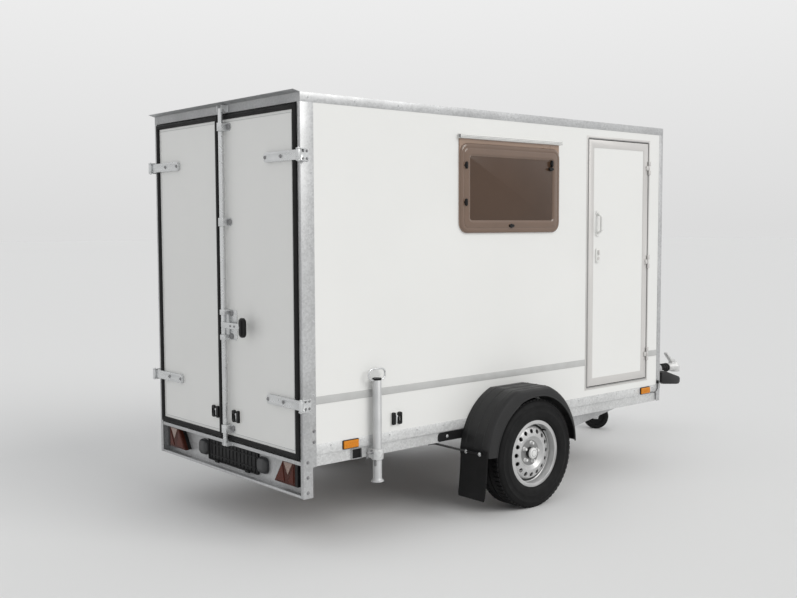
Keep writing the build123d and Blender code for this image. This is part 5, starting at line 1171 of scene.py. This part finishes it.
# Stage: a pale floor without an edge, a bright even room whose paper is lighter higher up, and one
# broad soft light from the right that leaves the rear face in shade and lays the shadow to the left.
FLOOR_HALF, ROOM_LIGHT, KEY_LIGHT, KEY_SPREAD = 120.0, 0.66, 1.25, radians(40)
PAPER_LOW, PAPER_HIGH, PAPER_RISE = 0.714, 0.86, 0.24
KEY_WAY = Vector((-0.25, 0.80, -0.55))
STUDIO = bpy.data.materials.new("studio paper")
STUDIO.use_nodes = True
paper = STUDIO.node_tree.nodes["Principled BSDF"].inputs
paper["Base Color"].default_value = (0.80, 0.80, 0.80, 1.0)
paper["Roughness"].default_value = 0.9
floor_shape = bmesh.new()
bmesh.ops.create_grid(floor_shape, x_segments=1, y_segments=1, size=FLOOR_HALF)
floor_mesh = bpy.data.meshes.new("studio_floor")
floor_shape.to_mesh(floor_mesh)
floor_shape.free()
floor_mesh.materials.append(STUDIO)
studio_floor = bpy.data.objects.new("studio_floor", floor_mesh)
bpy.context.collection.objects.link(studio_floor)
studio_floor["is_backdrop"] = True
world = bpy.data.worlds.new("studio")
bpy.context.scene.world = world
world.use_nodes = True
tree = world.node_tree
room = tree.nodes["Background"]
room.inputs["Color"].default_value = (0.985, 0.995, 1.0, 1.0)
room.inputs["Strength"].default_value = ROOM_LIGHT
ray = add(tree, "ShaderNodeTexCoord").outputs["Generated"]
height = add(tree, "ShaderNodeSeparateXYZ", {"Vector": ray}).outputs["Z"]
rise = {"Value": height, "From Min": 0.0, "From Max": PAPER_RISE, "To Min": PAPER_LOW, "To Max": PAPER_HIGH}
glow = add(tree, "ShaderNodeMapRange", rise).outputs["Result"]
backdrop = add(tree, "ShaderNodeBackground", {"Color": (1.0, 1.0, 1.0, 1.0), "Strength": glow})
rays = add(tree, "ShaderNodeLightPath").outputs
seen = rays["Is Camera Ray"]
for other in ("Is Glossy Ray", "Is Transmission Ray"):
    seen = add(tree, "ShaderNodeMath", {0: seen, 1: rays[other]}, operation="MAXIMUM").outputs["Value"]
choice = {0: seen, 1: room.outputs["Background"], 2: backdrop.outputs["Background"]}
mixed = add(tree, "ShaderNodeMixShader", choice)
tree.links.new(mixed.outputs["Shader"], tree.nodes["World Output"].inputs["Surface"])
key = bpy.data.lights.new("key", "SUN")
key.energy = KEY_LIGHT
key.angle = KEY_SPREAD
key.color = (1.0, 0.99, 0.965)
key_lamp = bpy.data.objects.new("key", key)
key_lamp.rotation_euler = KEY_WAY.to_track_quat("-Z", "Y").to_euler()
bpy.context.collection.objects.link(key_lamp)

# Camera: it stands at the photograph's place, from a fit through the corners of the box. Its lens
# is the fitted focal length for a sensor 36 mm wide.
EYE = Vector((-5.028, -4.827, 1.639))
YAW, PITCH, ROLL = radians(49.23), radians(4.0873), radians(-0.226)
SENSOR, FOCAL = 36.0, 45.57
ahead = Vector((cos(YAW) * cos(PITCH), sin(YAW) * cos(PITCH), -sin(PITCH)))
across = Vector((sin(YAW), -cos(YAW), 0.0))
above = across.cross(ahead)
lean = cos(ROLL) * across + sin(ROLL) * above
upward = cos(ROLL) * above - sin(ROLL) * across
eye = bpy.data.cameras.new("eye")
eye.sensor_fit = "HORIZONTAL"
eye.sensor_width = SENSOR
eye.lens = FOCAL
camera = bpy.data.objects.new("eye", eye)
camera.matrix_world = Matrix((lean, upward, -ahead)).transposed().to_4x4()
camera.location = EYE
bpy.context.collection.objects.link(camera)
bpy.context.scene.camera = camera
bpy.context.scene.view_settings.view_transform = "Standard"

low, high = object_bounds()
